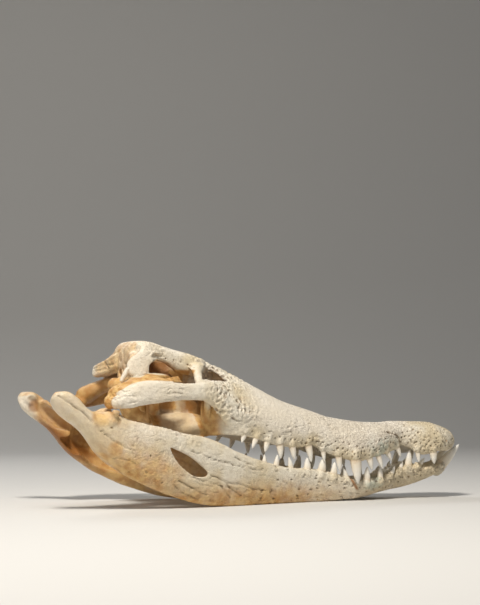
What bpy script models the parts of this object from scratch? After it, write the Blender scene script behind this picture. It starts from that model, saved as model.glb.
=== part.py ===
"""Crocodile skull with its lower jaw, life size, at rest on the floor with the jaws nearly closed.

The skull points along +X, its left side is +Y and the floor is z = 0.
Shape tables are in millimetres. Their x = 0 lies just in front of the eye sockets.
Each half is described by its left side, where y is positive, and mirrored.
"""
import math
import random

import bmesh
import bpy
import numpy as np
from mathutils import Matrix, Vector

MM = 0.001
MIDDLE = 19.87  # x of the point halfway along the skull, which becomes the origin
CUT = 0.3  # width of the thin cuts between neighbouring bones
CRUMB = 30  # bodies with fewer corners than this are splinters of a cut

UPPER_VOXEL = 2.4
LOWER_VOXEL = 2.4
UPPER_TRIANGLES = 3000
LOWER_TRIANGLES = 1300
TOOTH_SIDES = 5
SOCKET_DEPTH = 4.0  # how far a tooth's base reaches into its jaw
TOOTH_FLARE = 0.08  # how far an upper tooth's tip leans outwards, as a share of its length

IVORY = (0.78, 0.70, 0.56)
BONE_ROUGHNESS = 0.6

# Upper jaw and face, each as (x, value)
SNOUT_TOP = ((284, 70), (281, 78), (273.5, 85), (261, 89.6), (247, 93.6), (215, 95.6), (180, 93.3),
             (158, 93.9), (135, 96.7), (111, 100.4), (89, 107.8), (48, 121), (13, 138.6),
             (-17, 153), (-43, 165), (-70, 175))
SNOUT_HALF_WIDTH = ((284, 6), (282, 12), (277, 19.5), (270, 26), (261, 31.5), (250, 35), (237, 36),
                    (225, 34.5), (203, 27.5), (190, 31.5), (172, 40), (155, 45), (131, 47.8), (108, 46),
                    (85, 47), (50, 54), (20, 62), (-10, 71), (-40, 80), (-72, 88))
GUM_LINE = ((284, 65), (281, 62.5), (276, 60), (267, 57.5), (252, 57.5), (236, 53.8), (229, 53),
            (212, 62.5), (203, 64.5), (192, 59), (172, 54.3), (158, 51.5), (136, 46.7), (115, 51),
            (88, 60.5), (77, 66.5), (60, 64.6), (37, 66), (15, 70.5), (-5, 76), (-28, 82), (-44, 92),
            (-54, 103), (-63, 113), (-72, 119))
CHEEK_HEIGHT = ((284, 70), (250, 70), (203, 77), (136, 62), (77, 79), (0, 96), (-28, 108), (-50, 124),
                (-72, 131))
ROUNDNESS = ((284, 2.1), (200, 2.4), (100, 2.2), (40, 1.9), (0, 1.6), (-40, 1.4), (-72, 1.4))
GUM_RIDGE = 8.0  # half the width of the ridge that carries the upper teeth
PALATE_RISE = 6.0
WALL = 8.0  # thickness of roof and cheek around the eye sockets

# Lower jaw, left half: x, outer y, inner y, lowest z, highest z
JAW = ((-251, 94, 88, 118, 124), (-246, 100, 82, 110, 130.5), (-235, 102, 80, 100, 131),
       (-222, 102, 77, 91, 124), (-210, 101, 72, 79, 112), (-198, 100, 66, 63, 107),
       (-185, 100, 64, 51, 107), (-174, 100, 68, 43.5, 106), (-165, 100, 74, 37.5, 100.5),
       (-145, 99, 78, 27.5, 96), (-125, 98, 79, 18.5, 91.5), (-100, 95, 77, 10, 84.5),
       (-79, 92, 73, 4, 81), (-54, 86, 67, 0.2, 73.6), (-33, 80, 61, -1.6, 64), (-11, 73, 54, -2, 56),
       (15, 65, 46, -2, 48.5), (45, 56, 37, -2, 42), (75, 48, 29, -2, 40), (100, 44, 25, -1.2, 35.5),
       (125, 42, 22, 0.6, 29), (139, 41, 19, 1.8, 24.8), (155, 39, 10, 4, 26.5), (175, 33.5, -6, 8, 29),
       (195, 25.5, -6, 11, 33), (208, 23, -6, 13, 39.5), (218, 26.5, -6, 15.5, 42), (235, 28, -6, 21, 40),
       (255, 25.5, -6, 28.5, 42), (268, 16, -6, 34.5, 43.5), (274, 8, -5, 38, 42.5))
JAW_LEAN = 7.0  # how far the jaw's lower edge lies nearer the middle than its upper edge
FENESTRA = ((-118, 70), (-109, 66), (-92, 58), (-74, 44), (-69, 39), (-72, 34.5), (-83, 35), (-99, 44),
            (-111, 57))

# Teeth: x, depth in from the jaw's outer face, length, width, how far the tip lies ahead of the base
UPPER_TEETH = ((-21, 5, 8, 6.6, -2.3), (-4.5, 5, 11, 7, -4), (11.5, 5, 11, 7.4, -2.4),
               (29.6, 5, 14.5, 8.8, 1.4), (47.2, 5, 14.3, 8.2, 3), (70, 5, 18.5, 8.8, 3.9),
               (90, 5, 13, 6, 1.8), (110.4, 5, 17, 8.2, 2), (131.5, 4.5, 26.5, 13.4, 3.2),
               (151.2, 5, 13, 8.2, 3.5), (164.5, 5, 15.5, 7, 5.6), (180, 5, 9, 6.4, 5.8),
               (197, 5, 11, 6.4, 4.2), (222, 5, 12, 6.6, 1.8), (242, 5, 13, 9.8, 1.5))
LOWER_TEETH = ((9, 9, 8, 5.8, 0.6), (25.3, 9, 11.5, 7, 2.5), (46.3, 9, 12.5, 7, -1.7),
               (69.5, 8, 12.5, 9.4, 0.8), (89, 7, 15.5, 10, 4.2), (105.5, 6, 13, 8.6, 2.1),
               (121.6, 6, 10, 6.8, -2.6), (150, 5, 14.5, 9, 1.6), (170.3, 5, 12.5, 7.6, 0.9),
               (189.8, 5, 8, 5.8, 4.3), (203.7, 5, 8.5, 5.8, 3), (213.5, 5.5, 18.5, 9.2, 2.6),
               (228, 6, 7, 5.8, 7))
FRONT_TOOTH = ((262.5, 10, 39.5), (275, 10.5, 51), (290, 10.5, 65))  # the jaw's first tooth, base to tip
FRONT_TOOTH_RADIUS = 5.0
FRONT_TOOTH_SWELL = (1.0, 0.95, 0.14)  # share of that radius at base, middle and tip

# Where the thin cuts run
SNOUT_CUT = 203.0  # x, premaxilla from snout
FACE_CUT = -12.5  # x, snout from the bones round the eyes
CHEEK_CUT = 36.0  # y, cheek and quadrate from the braincase
PALATE_CUT = 112.0  # z, palate from the bones above it
TABLE_CUT = 149.0  # z, cheek and quadrate from the skull roof
WING_CUT = -82.0  # x, cheek from the pterygoid's wing
BAR_CUT = -106.0  # x, cheek bar from the quadrate
BAR_INNER = 83.0  # y, the bar's inner side
JAW_CUT = -88.0  # x, rear of the lower jaw from the dentary
CHIN_START = 100.0  # x, rear end of the seam between the two dentaries

# Limits beyond the whole skull
REAR, FRONT = -300.0, 300.0
ASIDE = 120.0
UNDER, ABOVE = -20.0, 220.0

# About where the middle of each bone lies
UPPER_PLACES = {
    "premaxilla": (245, 0, 75), "snout": (95, 0, 95), "skull_roof": (-85, 0, 150),
    "palate": (-70, 0, 90), "cheek_right": (-55, -65, 110), "cheek_left": (-55, 65, 110),
    "quadrate_right": (-145, -72, 130), "quadrate_left": (-145, 72, 130),
}
LOWER_PLACES = {
    "dentary_right": (90, -45, 40), "dentary_left": (90, 45, 40),
    "jaw_rear_right": (-170, -83, 68), "jaw_rear_left": (-170, 83, 68),
}


def smooth_curve(knots, values, places):
    """Values at the places on a smooth curve through the knots, which overshoots none of them."""
    knots = np.array(knots, dtype=float)
    values = np.array(values, dtype=float)
    step = np.diff(knots)
    slope = np.diff(values) / step
    same_way = slope[:-1] * slope[1:] > 0
    total = np.where(same_way, slope[:-1] + slope[1:], 1.0)
    inner = np.where(same_way, 2 * slope[:-1] * slope[1:] / total, 0.0)
    tangent = np.concatenate((slope[:1], inner, slope[-1:]))
    span = np.clip(np.searchsorted(knots, places) - 1, 0, len(step) - 1)
    t = np.clip((places - knots[span]) / step[span], 0, 1)
    start = (2 * t**3 - 3 * t**2 + 1) * values[span] + (t**3 - 2 * t**2 + t) * step[span] * tangent[span]
    end = (3 * t**2 - 2 * t**3) * values[span + 1] + (t**3 - t**2) * step[span] * tangent[span + 1]
    return start + end


def profile(points, x):
    """Value at x of a shape table whose rows are (x, value)."""
    rows = sorted(points)
    knots = [row[0] for row in rows]
    values = [row[1] for row in rows]
    return float(smooth_curve(knots, values, np.array([x]))[0])


def refined(rows, spacing):
    """Rows of a table at an even spacing along x, on smooth curves through all its columns."""
    rows = np.array(sorted(rows), dtype=float)
    count = max(2, round((rows[-1, 0] - rows[0, 0]) / spacing))
    places = np.linspace(rows[0, 0], rows[-1, 0], count + 1)
    columns = [smooth_curve(rows[:, 0], rows[:, c], places) for c in range(rows.shape[1])]
    return np.stack(columns, axis=1)


def power(value, exponent):
    """Signed power, which turns a circle's sine and cosine into those of a rounded square."""
    return math.copysign(abs(value) ** exponent, value)


def solid_from_rings(rings):
    """Mesh of one closed skin through rings of points, all with the same number of points."""
    bm = bmesh.new()
    loops = [[bm.verts.new(Vector(point)) for point in ring] for ring in rings]
    sides = len(loops[0])
    for one, two in zip(loops, loops[1:]):
        for i in range(sides):
            j = (i + 1) % sides
            bm.faces.new((one[i], one[j], two[j], two[i]))
    bm.faces.new(tuple(reversed(loops[0])))
    bm.faces.new(tuple(loops[-1]))
    bmesh.ops.recalc_face_normals(bm, faces=bm.faces)
    mesh = bpy.data.meshes.new("skin")
    bm.to_mesh(mesh)
    bm.free()
    return mesh


def slices(rows, squareness=2.4, lean=0.0, spacing=4.0, sides=28):
    """Solid from upright slices across x: rows of x, outer y, inner y, lowest z and highest z."""
    rings = []
    for x, outer, inner, low, high in refined(rows, spacing):
        ring = []
        for i in range(sides):
            angle = 2 * math.pi * i / sides
            across = power(math.cos(angle), 2 / squareness)
            up = power(math.sin(angle), 2 / squareness)
            y = (outer + inner) / 2 + (outer - inner) / 2 * across + lean * (up - 1) / 2
            ring.append((x, y, (low + high) / 2 + (high - low) / 2 * up))
        rings.append(ring)
    return solid_from_rings(rings)


def rod(rows, squareness=2.0, upward=(0, 0, 1), steps=5, sides=16):
    """Round-ended rod along a path: rows of x, y, z, half width and half height of its section."""
    rows = np.array(rows, dtype=float)
    lengths = np.linalg.norm(np.diff(rows[:, :3], axis=0), axis=1)
    knots = np.concatenate(([0], np.cumsum(lengths)))
    places = np.linspace(0, knots[-1], steps * len(lengths) + 1)
    fine = np.stack([smooth_curve(knots, rows[:, c], places) for c in range(5)], axis=1)
    heading = np.gradient(fine[:, :3], axis=0)
    rings = []
    stations = []
    for angle in (-80, -55, -30):
        stations.append((0, angle))
    stations += [(i, 0) for i in range(len(fine))]
    for angle in (30, 55, 80):
        stations.append((len(fine) - 1, angle))
    for index, cap in stations:
        centre = Vector(fine[index, :3])
        wide, tall = fine[index, 3:]
        along = Vector(heading[index]).normalized()
        side = Vector(upward).cross(along).normalized()
        up = along.cross(side)
        swell = math.cos(math.radians(cap))
        centre = centre + along * math.sin(math.radians(cap)) * min(wide, tall)
        ring = []
        for i in range(sides):
            angle = 2 * math.pi * i / sides
            a = power(math.cos(angle), 2 / squareness) * wide * swell
            b = power(math.sin(angle), 2 / squareness) * tall * swell
            ring.append(centre + side * a + up * b)
        rings.append(ring)
    return solid_from_rings(rings)


def ball(centre, radii):
    """Ellipsoid."""
    bm = bmesh.new()
    place = Matrix.Translation(centre) @ Matrix.Diagonal((*radii, 1))
    bmesh.ops.create_icosphere(bm, subdivisions=3, radius=1, matrix=place)
    mesh = bpy.data.meshes.new("ball")
    bm.to_mesh(mesh)
    bm.free()
    return mesh


def block(low, high):
    """Box between two corners."""
    low = Vector(low)
    high = Vector(high)
    bm = bmesh.new()
    place = Matrix.Translation((low + high) / 2) @ Matrix.Diagonal((*(high - low), 1))
    bmesh.ops.create_cube(bm, size=1, matrix=place)
    mesh = bpy.data.meshes.new("block")
    bm.to_mesh(mesh)
    bm.free()
    return mesh


def mirrored(mesh):
    """The same shape on the other side of the skull."""
    copy = mesh.copy()
    copy.transform(Matrix.Diagonal((1, -1, 1, 1)))
    copy.flip_normals()
    return copy


def both_sides(meshes):
    """The meshes and their mirror images."""
    return list(meshes) + [mirrored(mesh) for mesh in meshes]


def joined(meshes):
    """One mesh with all the bodies of the given meshes."""
    bm = bmesh.new()
    for mesh in meshes:
        bm.from_mesh(mesh)
    whole = bpy.data.meshes.new("joined")
    bm.to_mesh(whole)
    bm.free()
    return whole


def after_modifiers(mesh, *settings):
    """The mesh as it leaves a stack of modifiers, each given as its type and its settings."""
    body = bpy.data.objects.new("work", mesh)
    bpy.context.scene.collection.objects.link(body)
    for kind, values in settings:
        modifier = body.modifiers.new(kind.lower(), kind)
        for name, value in values.items():
            setattr(modifier, name, value)
    graph = bpy.context.evaluated_depsgraph_get()
    result = bpy.data.meshes.new_from_object(body.evaluated_get(graph))
    bpy.data.objects.remove(body)
    return result


def combined(mesh, other, operation):
    """Boolean of two closed meshes."""
    tool = bpy.data.objects.new("tool", other)
    tool.hide_render = True
    tool.display_type = "WIRE"
    bpy.context.scene.collection.objects.link(tool)
    result = after_modifiers(mesh, ("BOOLEAN", {"object": tool, "operation": operation, "use_self": True}))
    bpy.data.objects.remove(tool)
    return result


def merged_bone(solids, hollows, voxel, smoothing):
    """One bone-like skin round overlapping solids, less the hollows."""
    skin = after_modifiers(joined(solids), ("REMESH", {"mode": "VOXEL", "voxel_size": voxel}))
    if hollows:
        cutter = after_modifiers(joined(hollows), ("REMESH", {"mode": "VOXEL", "voxel_size": voxel}))
        skin = combined(skin, cutter, "DIFFERENCE")
    return after_modifiers(
        skin,
        ("REMESH", {"mode": "VOXEL", "voxel_size": voxel}),
        ("SMOOTH", {"factor": 0.5, "iterations": smoothing}),
    )


def thinned(mesh, triangles):
    """The mesh with about as many triangles as asked for."""
    count = sum(len(polygon.vertices) - 2 for polygon in mesh.polygons)
    ratio = min(1.0, triangles / count)
    return after_modifiers(mesh, ("TRIANGULATE", {}), ("DECIMATE", {"ratio": ratio}))


def face_ring(x, inset=0.0, floor=None):
    """Upright section of snout and face at x, set in from the surface, open downwards to the floor."""
    top = profile(SNOUT_TOP, x) - inset
    half = max(profile(SNOUT_HALF_WIDTH, x) - inset, 1.0)
    gum = profile(GUM_LINE, x)
    cheek = min(profile(CHEEK_HEIGHT, x), top - 1.0)
    exponent = 2 / profile(ROUNDNESS, x)
    palate = min(gum + PALATE_RISE, cheek - 0.5)
    ridge = min(GUM_RIDGE, half * 0.45)
    right = []
    for i in range(13):
        angle = math.radians(90 - 7.5 * i)
        y = half * power(math.cos(angle), exponent)
        right.append((y, cheek + (top - cheek) * power(math.sin(angle), exponent)))
    if floor is not None:
        right += [(half, floor), (half / 2, floor)]
    else:
        for i in range(1, 5):
            angle = math.radians(22.5 * i)
            y = half - ridge * (1 - math.cos(angle))
            right.append((y, cheek - (cheek - gum) * math.sin(angle)))
        right += [(half - 1.5 * ridge, (gum + palate) / 2), (half - 2.1 * ridge, palate)]
        right += [((half - 2.1 * ridge) / 2, palate)]
    middle = floor if floor is not None else palate
    left = [(-y, z) for y, z in reversed(right[1:])]
    return [(x, y, z) for y, z in right + [(0, middle)] + left]


def face():
    """Snout and face as one solid, with the roof and cheeks round the eye sockets."""
    places = list(np.arange(-74, 267, 4.0)) + [269, 273, 276, 279, 281, 282.5, 283.5, 284]
    return solid_from_rings([face_ring(x) for x in places])


def face_hollows():
    """Nostril, eye sockets, the room behind the snout and the holes in the palate."""
    room = solid_from_rings([face_ring(x, WALL, 30.0) for x in np.arange(-90, -17, 4.0)])
    nostril = ball((221, 0, 96), (22, 13, 14))
    passage = rod(((215, 0, 84, 10, 6), (190, 0, 80, 8, 5), (165, 0, 78, 6, 4)))
    socket = slices(((-90, 100, 60, 143, 200), (-76, 100, 50, 142.5, 200), (-68, 80, 30, 142, 200),
                     (-60, 92, 17, 142, 200), (-50, 76, 15, 141, 200), (-44, 68, 16, 140.5, 200),
                     (-38, 62, 18, 140.5, 200), (-33, 55, 22, 141, 200), (-28, 47, 30, 143, 200)),
                    squareness=3)
    palate_hole = slices(((-75, 52, 26, 50, 112), (-60, 58, 22, 50, 112), (-30, 56, 19, 50, 112),
                          (-5, 48, 19, 50, 112), (12, 38, 22, 50, 108), (22, 31, 26, 50, 100)),
                         squareness=3)
    return [room, nostril, passage] + both_sides([socket, palate_hole])


def skull_table():
    """Flat roof over the back of the skull, with its upright rims, braincase and occiput."""
    roof = slices(((-50, 17, -17, 158, 167), (-55, 27, -27, 154, 169), (-61, 37, -37, 150, 170),
                   (-75, 41, -41, 148, 175.5), (-92, 43, -43, 151, 179.5),
                   (-110, 45.5, -45.5, 163, 184.6), (-126, 47, -47, 167, 189),
                   (-137, 44, -44, 171, 189.5), (-144, 37, -37, 173, 185),
                   (-148, 29, -29, 173, 180)), squareness=4.4)
    braincase = slices(((-66, 7, -7, 150, 168), (-80, 13, -13, 124, 172), (-105, 18, -18, 104, 176),
                        (-128, 23, -23, 97, 182), (-142, 21, -21, 98, 184),
                        (-149, 13, -13, 112, 178)), squareness=2.6)
    condyle = ball((-155, 0, 139), (9, 9, 8))
    side_wall = slices(((-36, 4, -4, 142, 156), (-46, 9, -9, 141, 164), (-58, 13, -13, 140, 168),
                        (-70, 14, -14, 138, 170)), squareness=2.6)
    left_wing = rod(((-139, 6, 169, 8, 14), (-145, 30, 165, 7, 12), (-152, 48, 159, 6.5, 9.5),
                     (-160, 60, 155, 6, 7.5)), squareness=2.4)
    right_wing = rod(((-139, -6, 169, 8, 14), (-142, -26, 167, 7, 14), (-145, -42, 163, 6, 11),
                      (-148, -53, 157, 5, 7)), squareness=2.4)
    folds = [rod(((-150, 14, 173 - drop, 3, 2.2), (-155, 34, 167 - drop, 4, 2.6),
                  (-162, 52, 161.5 - 0.8 * drop, 4, 2.6), (-165, 59, 159 - 0.7 * drop, 3, 2.2)), steps=3)
             for drop in (0, 6, 12)]
    sheet = rod(((-123, 43, 180, 12, 5), (-132, 49, 169, 11.5, 5), (-143, 55, 158, 14, 4.5),
                 (-147.5, 59, 149.5, 12, 3.2)), squareness=3.2, upward=(0, 1, 0))
    return [roof, braincase, condyle, side_wall, left_wing, right_wing, *folds] + both_sides([sheet])


def table_hollows():
    """Upper temporal openings, the rooms beside the braincase and the hole for the spinal cord."""
    opening = slices(((-119, 26, 20, 150, 200), (-114, 31, 14, 150, 200), (-104, 33, 12, 150, 200),
                      (-94, 30, 14, 150, 200), (-89, 25, 19, 150, 200)), squareness=2.2)
    room = slices(((-134, 38, 24, 120, 172), (-120, 39, 21, 120, 175), (-100, 36, 18, 120, 171),
                   (-80, 33, 14, 120, 168), (-70, 30, 12, 120, 166)), squareness=3.5)
    ear = slices(((-130, 70, 44, 153, 160), (-126, 70, 36, 151, 164), (-118, 70, 33, 150, 166),
                  (-108, 70, 33, 149.5, 162), (-98, 70, 36, 149, 157), (-95, 70, 42, 149.5, 153)),
                 squareness=2.4)
    behind_eye = slices(((-94, 72, 38, 142, 150), (-88, 72, 36, 140, 154), (-80, 72, 36, 140, 154),
                         (-75.5, 72, 40, 141, 148)), squareness=2.4)
    spine = rod(((-166, 0, 153, 7, 6), (-130, 0, 153, 6, 5)))
    return both_sides([opening, room, ear, behind_eye]) + [spine]


def cheek():
    """Bones of the left cheek: bar under the eye, bar behind it, quadrate and ectopterygoid."""
    bar = rod(((-46, 73, 124, 4, 8), (-66, 82, 131, 5, 10.5), (-95, 88, 130.5, 5, 9.5),
               (-116, 91, 130.5, 5, 11), (-140, 93, 129, 5.5, 12.5),
               (-152, 93.5, 127, 6, 12.5), (-163, 93, 122, 6.5, 10), (-174, 92, 119, 6, 7.5)),
              squareness=2.6)
    post = rod(((-68, 36, 161.5, 9, 4), (-72, 48, 158, 8, 4.5), (-74.5, 62, 151, 4.8, 4.2),
                (-77, 77, 139, 4.5, 4.5)))
    quadrate = rod(((-102, 22, 145, 11, 7), (-124, 45, 145, 15, 7), (-146, 67, 139.5, 18, 8),
                    (-170, 80, 127, 18, 10.5)), squareness=2.6)
    flange = rod(((-112, 80, 141, 8, 3), (-128, 78, 144, 12, 3), (-148, 83, 136, 12, 5)))
    knuckle = rod(((-177, 70, 120, 7, 8), (-181, 77, 119, 7.5, 8), (-178, 84, 118.5, 6, 6),
                   (-178, 90, 118.5, 6.5, 7.5), (-175, 95, 119.5, 5.5, 6.5)), steps=3)
    pillar = rod(((-66, 77, 124, 5, 6), (-64, 67, 112, 4.5, 4), (-63.5, 61, 97, 4, 4),
                  (-63, 59, 83, 4, 4)), upward=(0, 1, 0))
    inner_wall = rod(((-128, 24, 120, 4, 12), (-95, 20, 114, 4, 12), (-62, 16, 110, 4, 10)), squareness=3)
    plate = rod(((-66, 60, 100, 3.5, 20), (-52, 63, 101, 3.5, 21), (-40, 68, 99, 4, 18),
                 (-24, 69, 95, 5, 15), (-10, 63, 92, 5, 12)), squareness=3)
    folds = [rod(((x, 36, 134, 5, 5), (x + 1, 34, 114, 4, 4), (x + 3, 32, 98, 5, 4)), upward=(0, 1, 0))
             for x in (-124, -116)]
    spine = rod(((-118, 78, 143, 5, 3), (-108, 75, 144.5, 3, 2.2), (-99, 72, 147, 1.8, 1.8)))
    return [bar, post, quadrate, flange, knuckle, pillar, inner_wall, plate, *folds, spine]


def palate():
    """Bar down the middle of the palate, and the pterygoid with its left wing."""
    bar = slices(((38, 11, -11, 82, 96), (0, 14, -14, 87, 102), (-40, 15, -15, 89, 104),
                  (-75, 20, -20, 91, 106), (-100, 34, -34, 93, 107), (-122, 30, -30, 95, 109),
                  (-130, 18, -18, 97, 108)), squareness=3)
    wing = rod(((-94, 14, 103, 26, 4), (-93, 36, 102, 31, 4), (-93, 52, 93, 32, 3.5),
                (-94, 62, 79, 27, 4), (-96, 68, 70, 15, 3.5)), squareness=2.8)
    strut = rod(((-116, 26, 100, 5, 4), (-120, 42, 112, 6, 5), (-124, 52, 128, 7, 5),
                 (-126, 58, 142, 8, 5)))
    return [bar] + both_sides([wing, strut])


def tooth(base, tip, width, sides=TOOTH_SIDES):
    """Conical tooth, a little flattened, whose base reaches into its socket."""
    base = Vector(base)
    tip = Vector(tip)
    along = (tip - base).normalized()
    root = base - along * SOCKET_DEPTH
    side = along.cross(Vector((1, 0, 0))).normalized()
    front = side.cross(along)
    rings = []
    for part, swell in ((0, 0.96), (0.5, 0.88), (1, 0.12)):
        centre = root.lerp(tip, part)
        ring = []
        for i in range(sides):
            angle = 2 * math.pi * i / sides
            ring.append(centre + (front * math.cos(angle) * 0.5 + side * math.sin(angle) * 0.42)
                        * width * swell)
        rings.append(ring)
    return solid_from_rings(rings)


def jaw_column(column, x):
    """Value at x of one column of the lower jaw's table."""
    return profile([(row[0], row[column]) for row in JAW], x)


def tooth_row(table, upper):
    """Teeth of both sides of one jaw; the right side's are the ones measured."""
    chance = random.Random(7)
    teeth = []
    for x, inset, length, width, ahead in table:
        for side in (-1, 1):
            size = 1.0 if side < 0 else chance.uniform(0.88, 1.04)
            if upper:
                y = profile(SNOUT_HALF_WIDTH, x) - inset
                z = profile(GUM_LINE, x)
                tip = (x + ahead, side * (y + TOOTH_FLARE * length), z - length * size)
            else:
                y = jaw_column(1, x) - inset
                z = jaw_column(4, x)
                tip = (x + ahead, side * y, z + length * size)
            teeth.append(tooth((x, side * y, z), tip, width * size))
    return teeth


def ear_bone():
    """Loose splint of bone that leans in the notch behind the right ear opening."""
    return rod(((-160.5, -72, 155.5, 2.2, 2.4), (-163.8, -72.5, 149.2, 2.6, 2.8),
                (-167.2, -73, 143.2, 2.1, 2.4)), steps=2, sides=8)


def front_teeth():
    """The pair of long teeth that slant out past the snout's tip."""
    rows = [(*point, FRONT_TOOTH_RADIUS * swell, 0.85 * FRONT_TOOTH_RADIUS * swell)
            for point, swell in zip(FRONT_TOOTH, FRONT_TOOTH_SWELL)]
    return both_sides([rod(rows, steps=3, sides=8)])


def lower_jaw():
    """Both halves of the lower jaw as solids."""
    half = slices(JAW, squareness=2.7, lean=JAW_LEAN, spacing=3.0)
    knob = ball((-238, 80.5, 122.5), (9, 9.5, 8.5))
    cup = ball((-184, 80, 98), (13, 20, 11))
    inner_rim = rod(((-222, 76, 116.5, 4, 6), (-208, 70, 106, 4.5, 5), (-196, 64, 103, 5, 6),
                     (-186, 61, 105.5, 4, 7), (-178, 60, 107.5, 3.5, 6)), steps=3, sides=12)
    outer_lip = ball((-180.5, 98.5, 108), (5, 3.8, 4.5))
    return both_sides([half, knob, cup, inner_rim, outer_lip])


def lower_jaw_hollows():
    """Side openings, the rooms on the inner side and the sockets of the jaw joint."""
    window = []
    outline = np.array(FENESTRA + FENESTRA[:1], dtype=float)
    places = np.linspace(0, len(FENESTRA), 28)[:-1]
    xs = smooth_curve(range(len(outline)), outline[:, 0], places)
    zs = smooth_curve(range(len(outline)), outline[:, 1], places)
    for y in (76, 120):
        window.append([(x, y, z) for x, z in zip(xs, zs)])
    opening = solid_from_rings(window)
    room = slices(((-192, 74, 50, 68, 84), (-180, 82, 50, 58, 92), (-160, 88, 50, 42, 92),
                   (-130, 89, 50, 32, 82), (-100, 86, 50, 26, 74), (-70, 80, 50, 24, 60),
                   (-45, 70, 48, 22, 44)), squareness=2.6)
    upper_gap = slices(((-160, 90, 70, 70, 120), (-140, 91, 74, 70, 120), (-118, 89, 76, 70, 120)),
                       squareness=2.6)
    scoop = rod(((-238, 71, 122, 5, 5), (-222, 70, 108, 9, 8), (-206, 68, 96, 11, 9), (-196, 66, 91, 8, 7)))
    joint = rod(((-177, 66, 118.5, 9.4, 9.4), (-181, 83, 118, 9.8, 9.8), (-178, 97, 118.5, 9.4, 9.4)))
    outer_dip = rod(((-218, 107, 115, 5, 5), (-204, 105.5, 106, 7.5, 7.5), (-190, 107, 104, 6, 6)))
    return both_sides([opening, room, upper_gap, scoop, joint, outer_dip])


def loose_parts(mesh):
    """The separate bodies of a mesh, each as its own mesh, without crumbs left by the cuts."""
    bm = bmesh.new()
    bm.from_mesh(mesh)
    waiting = set(bm.verts)
    groups = []
    while waiting:
        group = [waiting.pop()]
        for vert in group:
            for edge in vert.link_edges:
                other = edge.other_vert(vert)
                if other in waiting:
                    waiting.remove(other)
                    group.append(other)
        groups.append([vert.index for vert in group])
    parts = []
    for group in groups:
        if len(group) < CRUMB:
            continue
        kept = set(group)
        copy = bm.copy()
        away = [vert for vert in copy.verts if vert.index not in kept]
        bmesh.ops.delete(copy, geom=away, context="VERTS")
        part = bpy.data.meshes.new("part")
        copy.to_mesh(part)
        copy.free()
        parts.append(part)
    bm.free()
    return parts


def middle_of(mesh):
    """Middle of a mesh's bounding box."""
    points = np.array([vertex.co[:] for vertex in mesh.vertices])
    return (points.min(axis=0) + points.max(axis=0)) / 2


def wall(axis, place, low, high):
    """Thin slab across an axis, between the other two axes' limits."""
    low = list(low)
    high = list(high)
    low.insert(axis, place - CUT / 2)
    high.insert(axis, place + CUT / 2)
    return block(low, high)


def upper_cuts():
    """Slabs that part the upper skull into its named bones."""
    cuts = [
        wall(0, SNOUT_CUT, (-ASIDE, UNDER), (ASIDE, ABOVE)),
        wall(0, FACE_CUT, (-ASIDE, UNDER), (ASIDE, ABOVE)),
        wall(2, PALATE_CUT, (REAR, -ASIDE / 2), (WING_CUT, ASIDE / 2)),
        wall(2, PALATE_CUT, (WING_CUT, -CHEEK_CUT), (FACE_CUT, CHEEK_CUT)),
    ]
    for side in (-1, 1):
        near, far = sorted((side * CHEEK_CUT, side * ASIDE))
        cuts += [
            wall(1, side * CHEEK_CUT, (REAR, PALATE_CUT), (FACE_CUT, TABLE_CUT)),
            wall(1, side * CHEEK_CUT, (WING_CUT, UNDER), (FACE_CUT, PALATE_CUT)),
            wall(2, TABLE_CUT, (REAR, near), (FACE_CUT, far)),
            wall(0, WING_CUT, (near, UNDER), (far, PALATE_CUT)),
        ]
        near, far = sorted((side * BAR_INNER, side * ASIDE))
        cuts.append(wall(0, BAR_CUT, (near, UNDER), (far, TABLE_CUT)))
    return cuts


def lower_cuts():
    """Slabs that part the lower jaw at the chin and through its side openings."""
    return [
        wall(1, 0, (CHIN_START, UNDER), (FRONT, ABOVE)),
        wall(0, JAW_CUT, (-ASIDE, UNDER), (ASIDE, ABOVE)),
    ]


def nearest_name(mesh, places):
    """The name whose place lies nearest to the mesh's middle."""
    centre = Vector(middle_of(mesh))
    return min(places, key=lambda name: (centre - Vector(places[name])).length)


def bone_material(name, colour, roughness):
    """Matt bone."""
    material = bpy.data.materials.new(name)
    material.use_nodes = True
    shader = material.node_tree.nodes["Principled BSDF"]
    shader.inputs["Base Color"].default_value = (*colour, 1)
    shader.inputs["Roughness"].default_value = roughness
    shader.inputs["Metallic"].default_value = 0
    return material


def place(name, mesh, material):
    """Object of a finished bone, moved to the skull's own origin and turned into metres."""
    mesh.transform(Matrix.Scale(MM, 4) @ Matrix.Translation((-MIDDLE, 0, 0)))
    mesh.materials.clear()
    mesh.materials.append(material)
    mesh.shade_smooth()
    mesh.set_sharp_from_angle(angle=math.radians(50))
    body = bpy.data.objects.new(name, mesh)
    bpy.context.scene.collection.objects.link(body)
    return body


def distance_to(mesh, point):
    """Distance from a point to the nearest corner of a mesh."""
    return min((vertex.co - point).length for vertex in mesh.vertices)


def make_bones(skin, cuts, places, teeth):
    """Bones of one jaw by name, each with its own teeth."""
    for cut in cuts:
        skin = combined(skin, cut, "DIFFERENCE")
    bones = {}
    for part in sorted(loose_parts(skin), key=lambda mesh: len(mesh.polygons)):
        bones[nearest_name(part, places)] = part
    for one in teeth:
        point = Vector(one.vertices[0].co)
        name = min(bones, key=lambda key: distance_to(bones[key], point))
        bones[name] = combined(bones[name], one, "UNION")
    return bones


def upper_skull():
    """Everything above the jaw joint, without teeth, as one skin."""
    front = merged_bone([face()], face_hollows(), UPPER_VOXEL, 0)
    back = merged_bone(skull_table(), table_hollows(), UPPER_VOXEL, 0)
    skin = merged_bone([front, back] + both_sides(cheek()) + palate(), [], UPPER_VOXEL, 3)
    return thinned(skin, UPPER_TRIANGLES)


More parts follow.
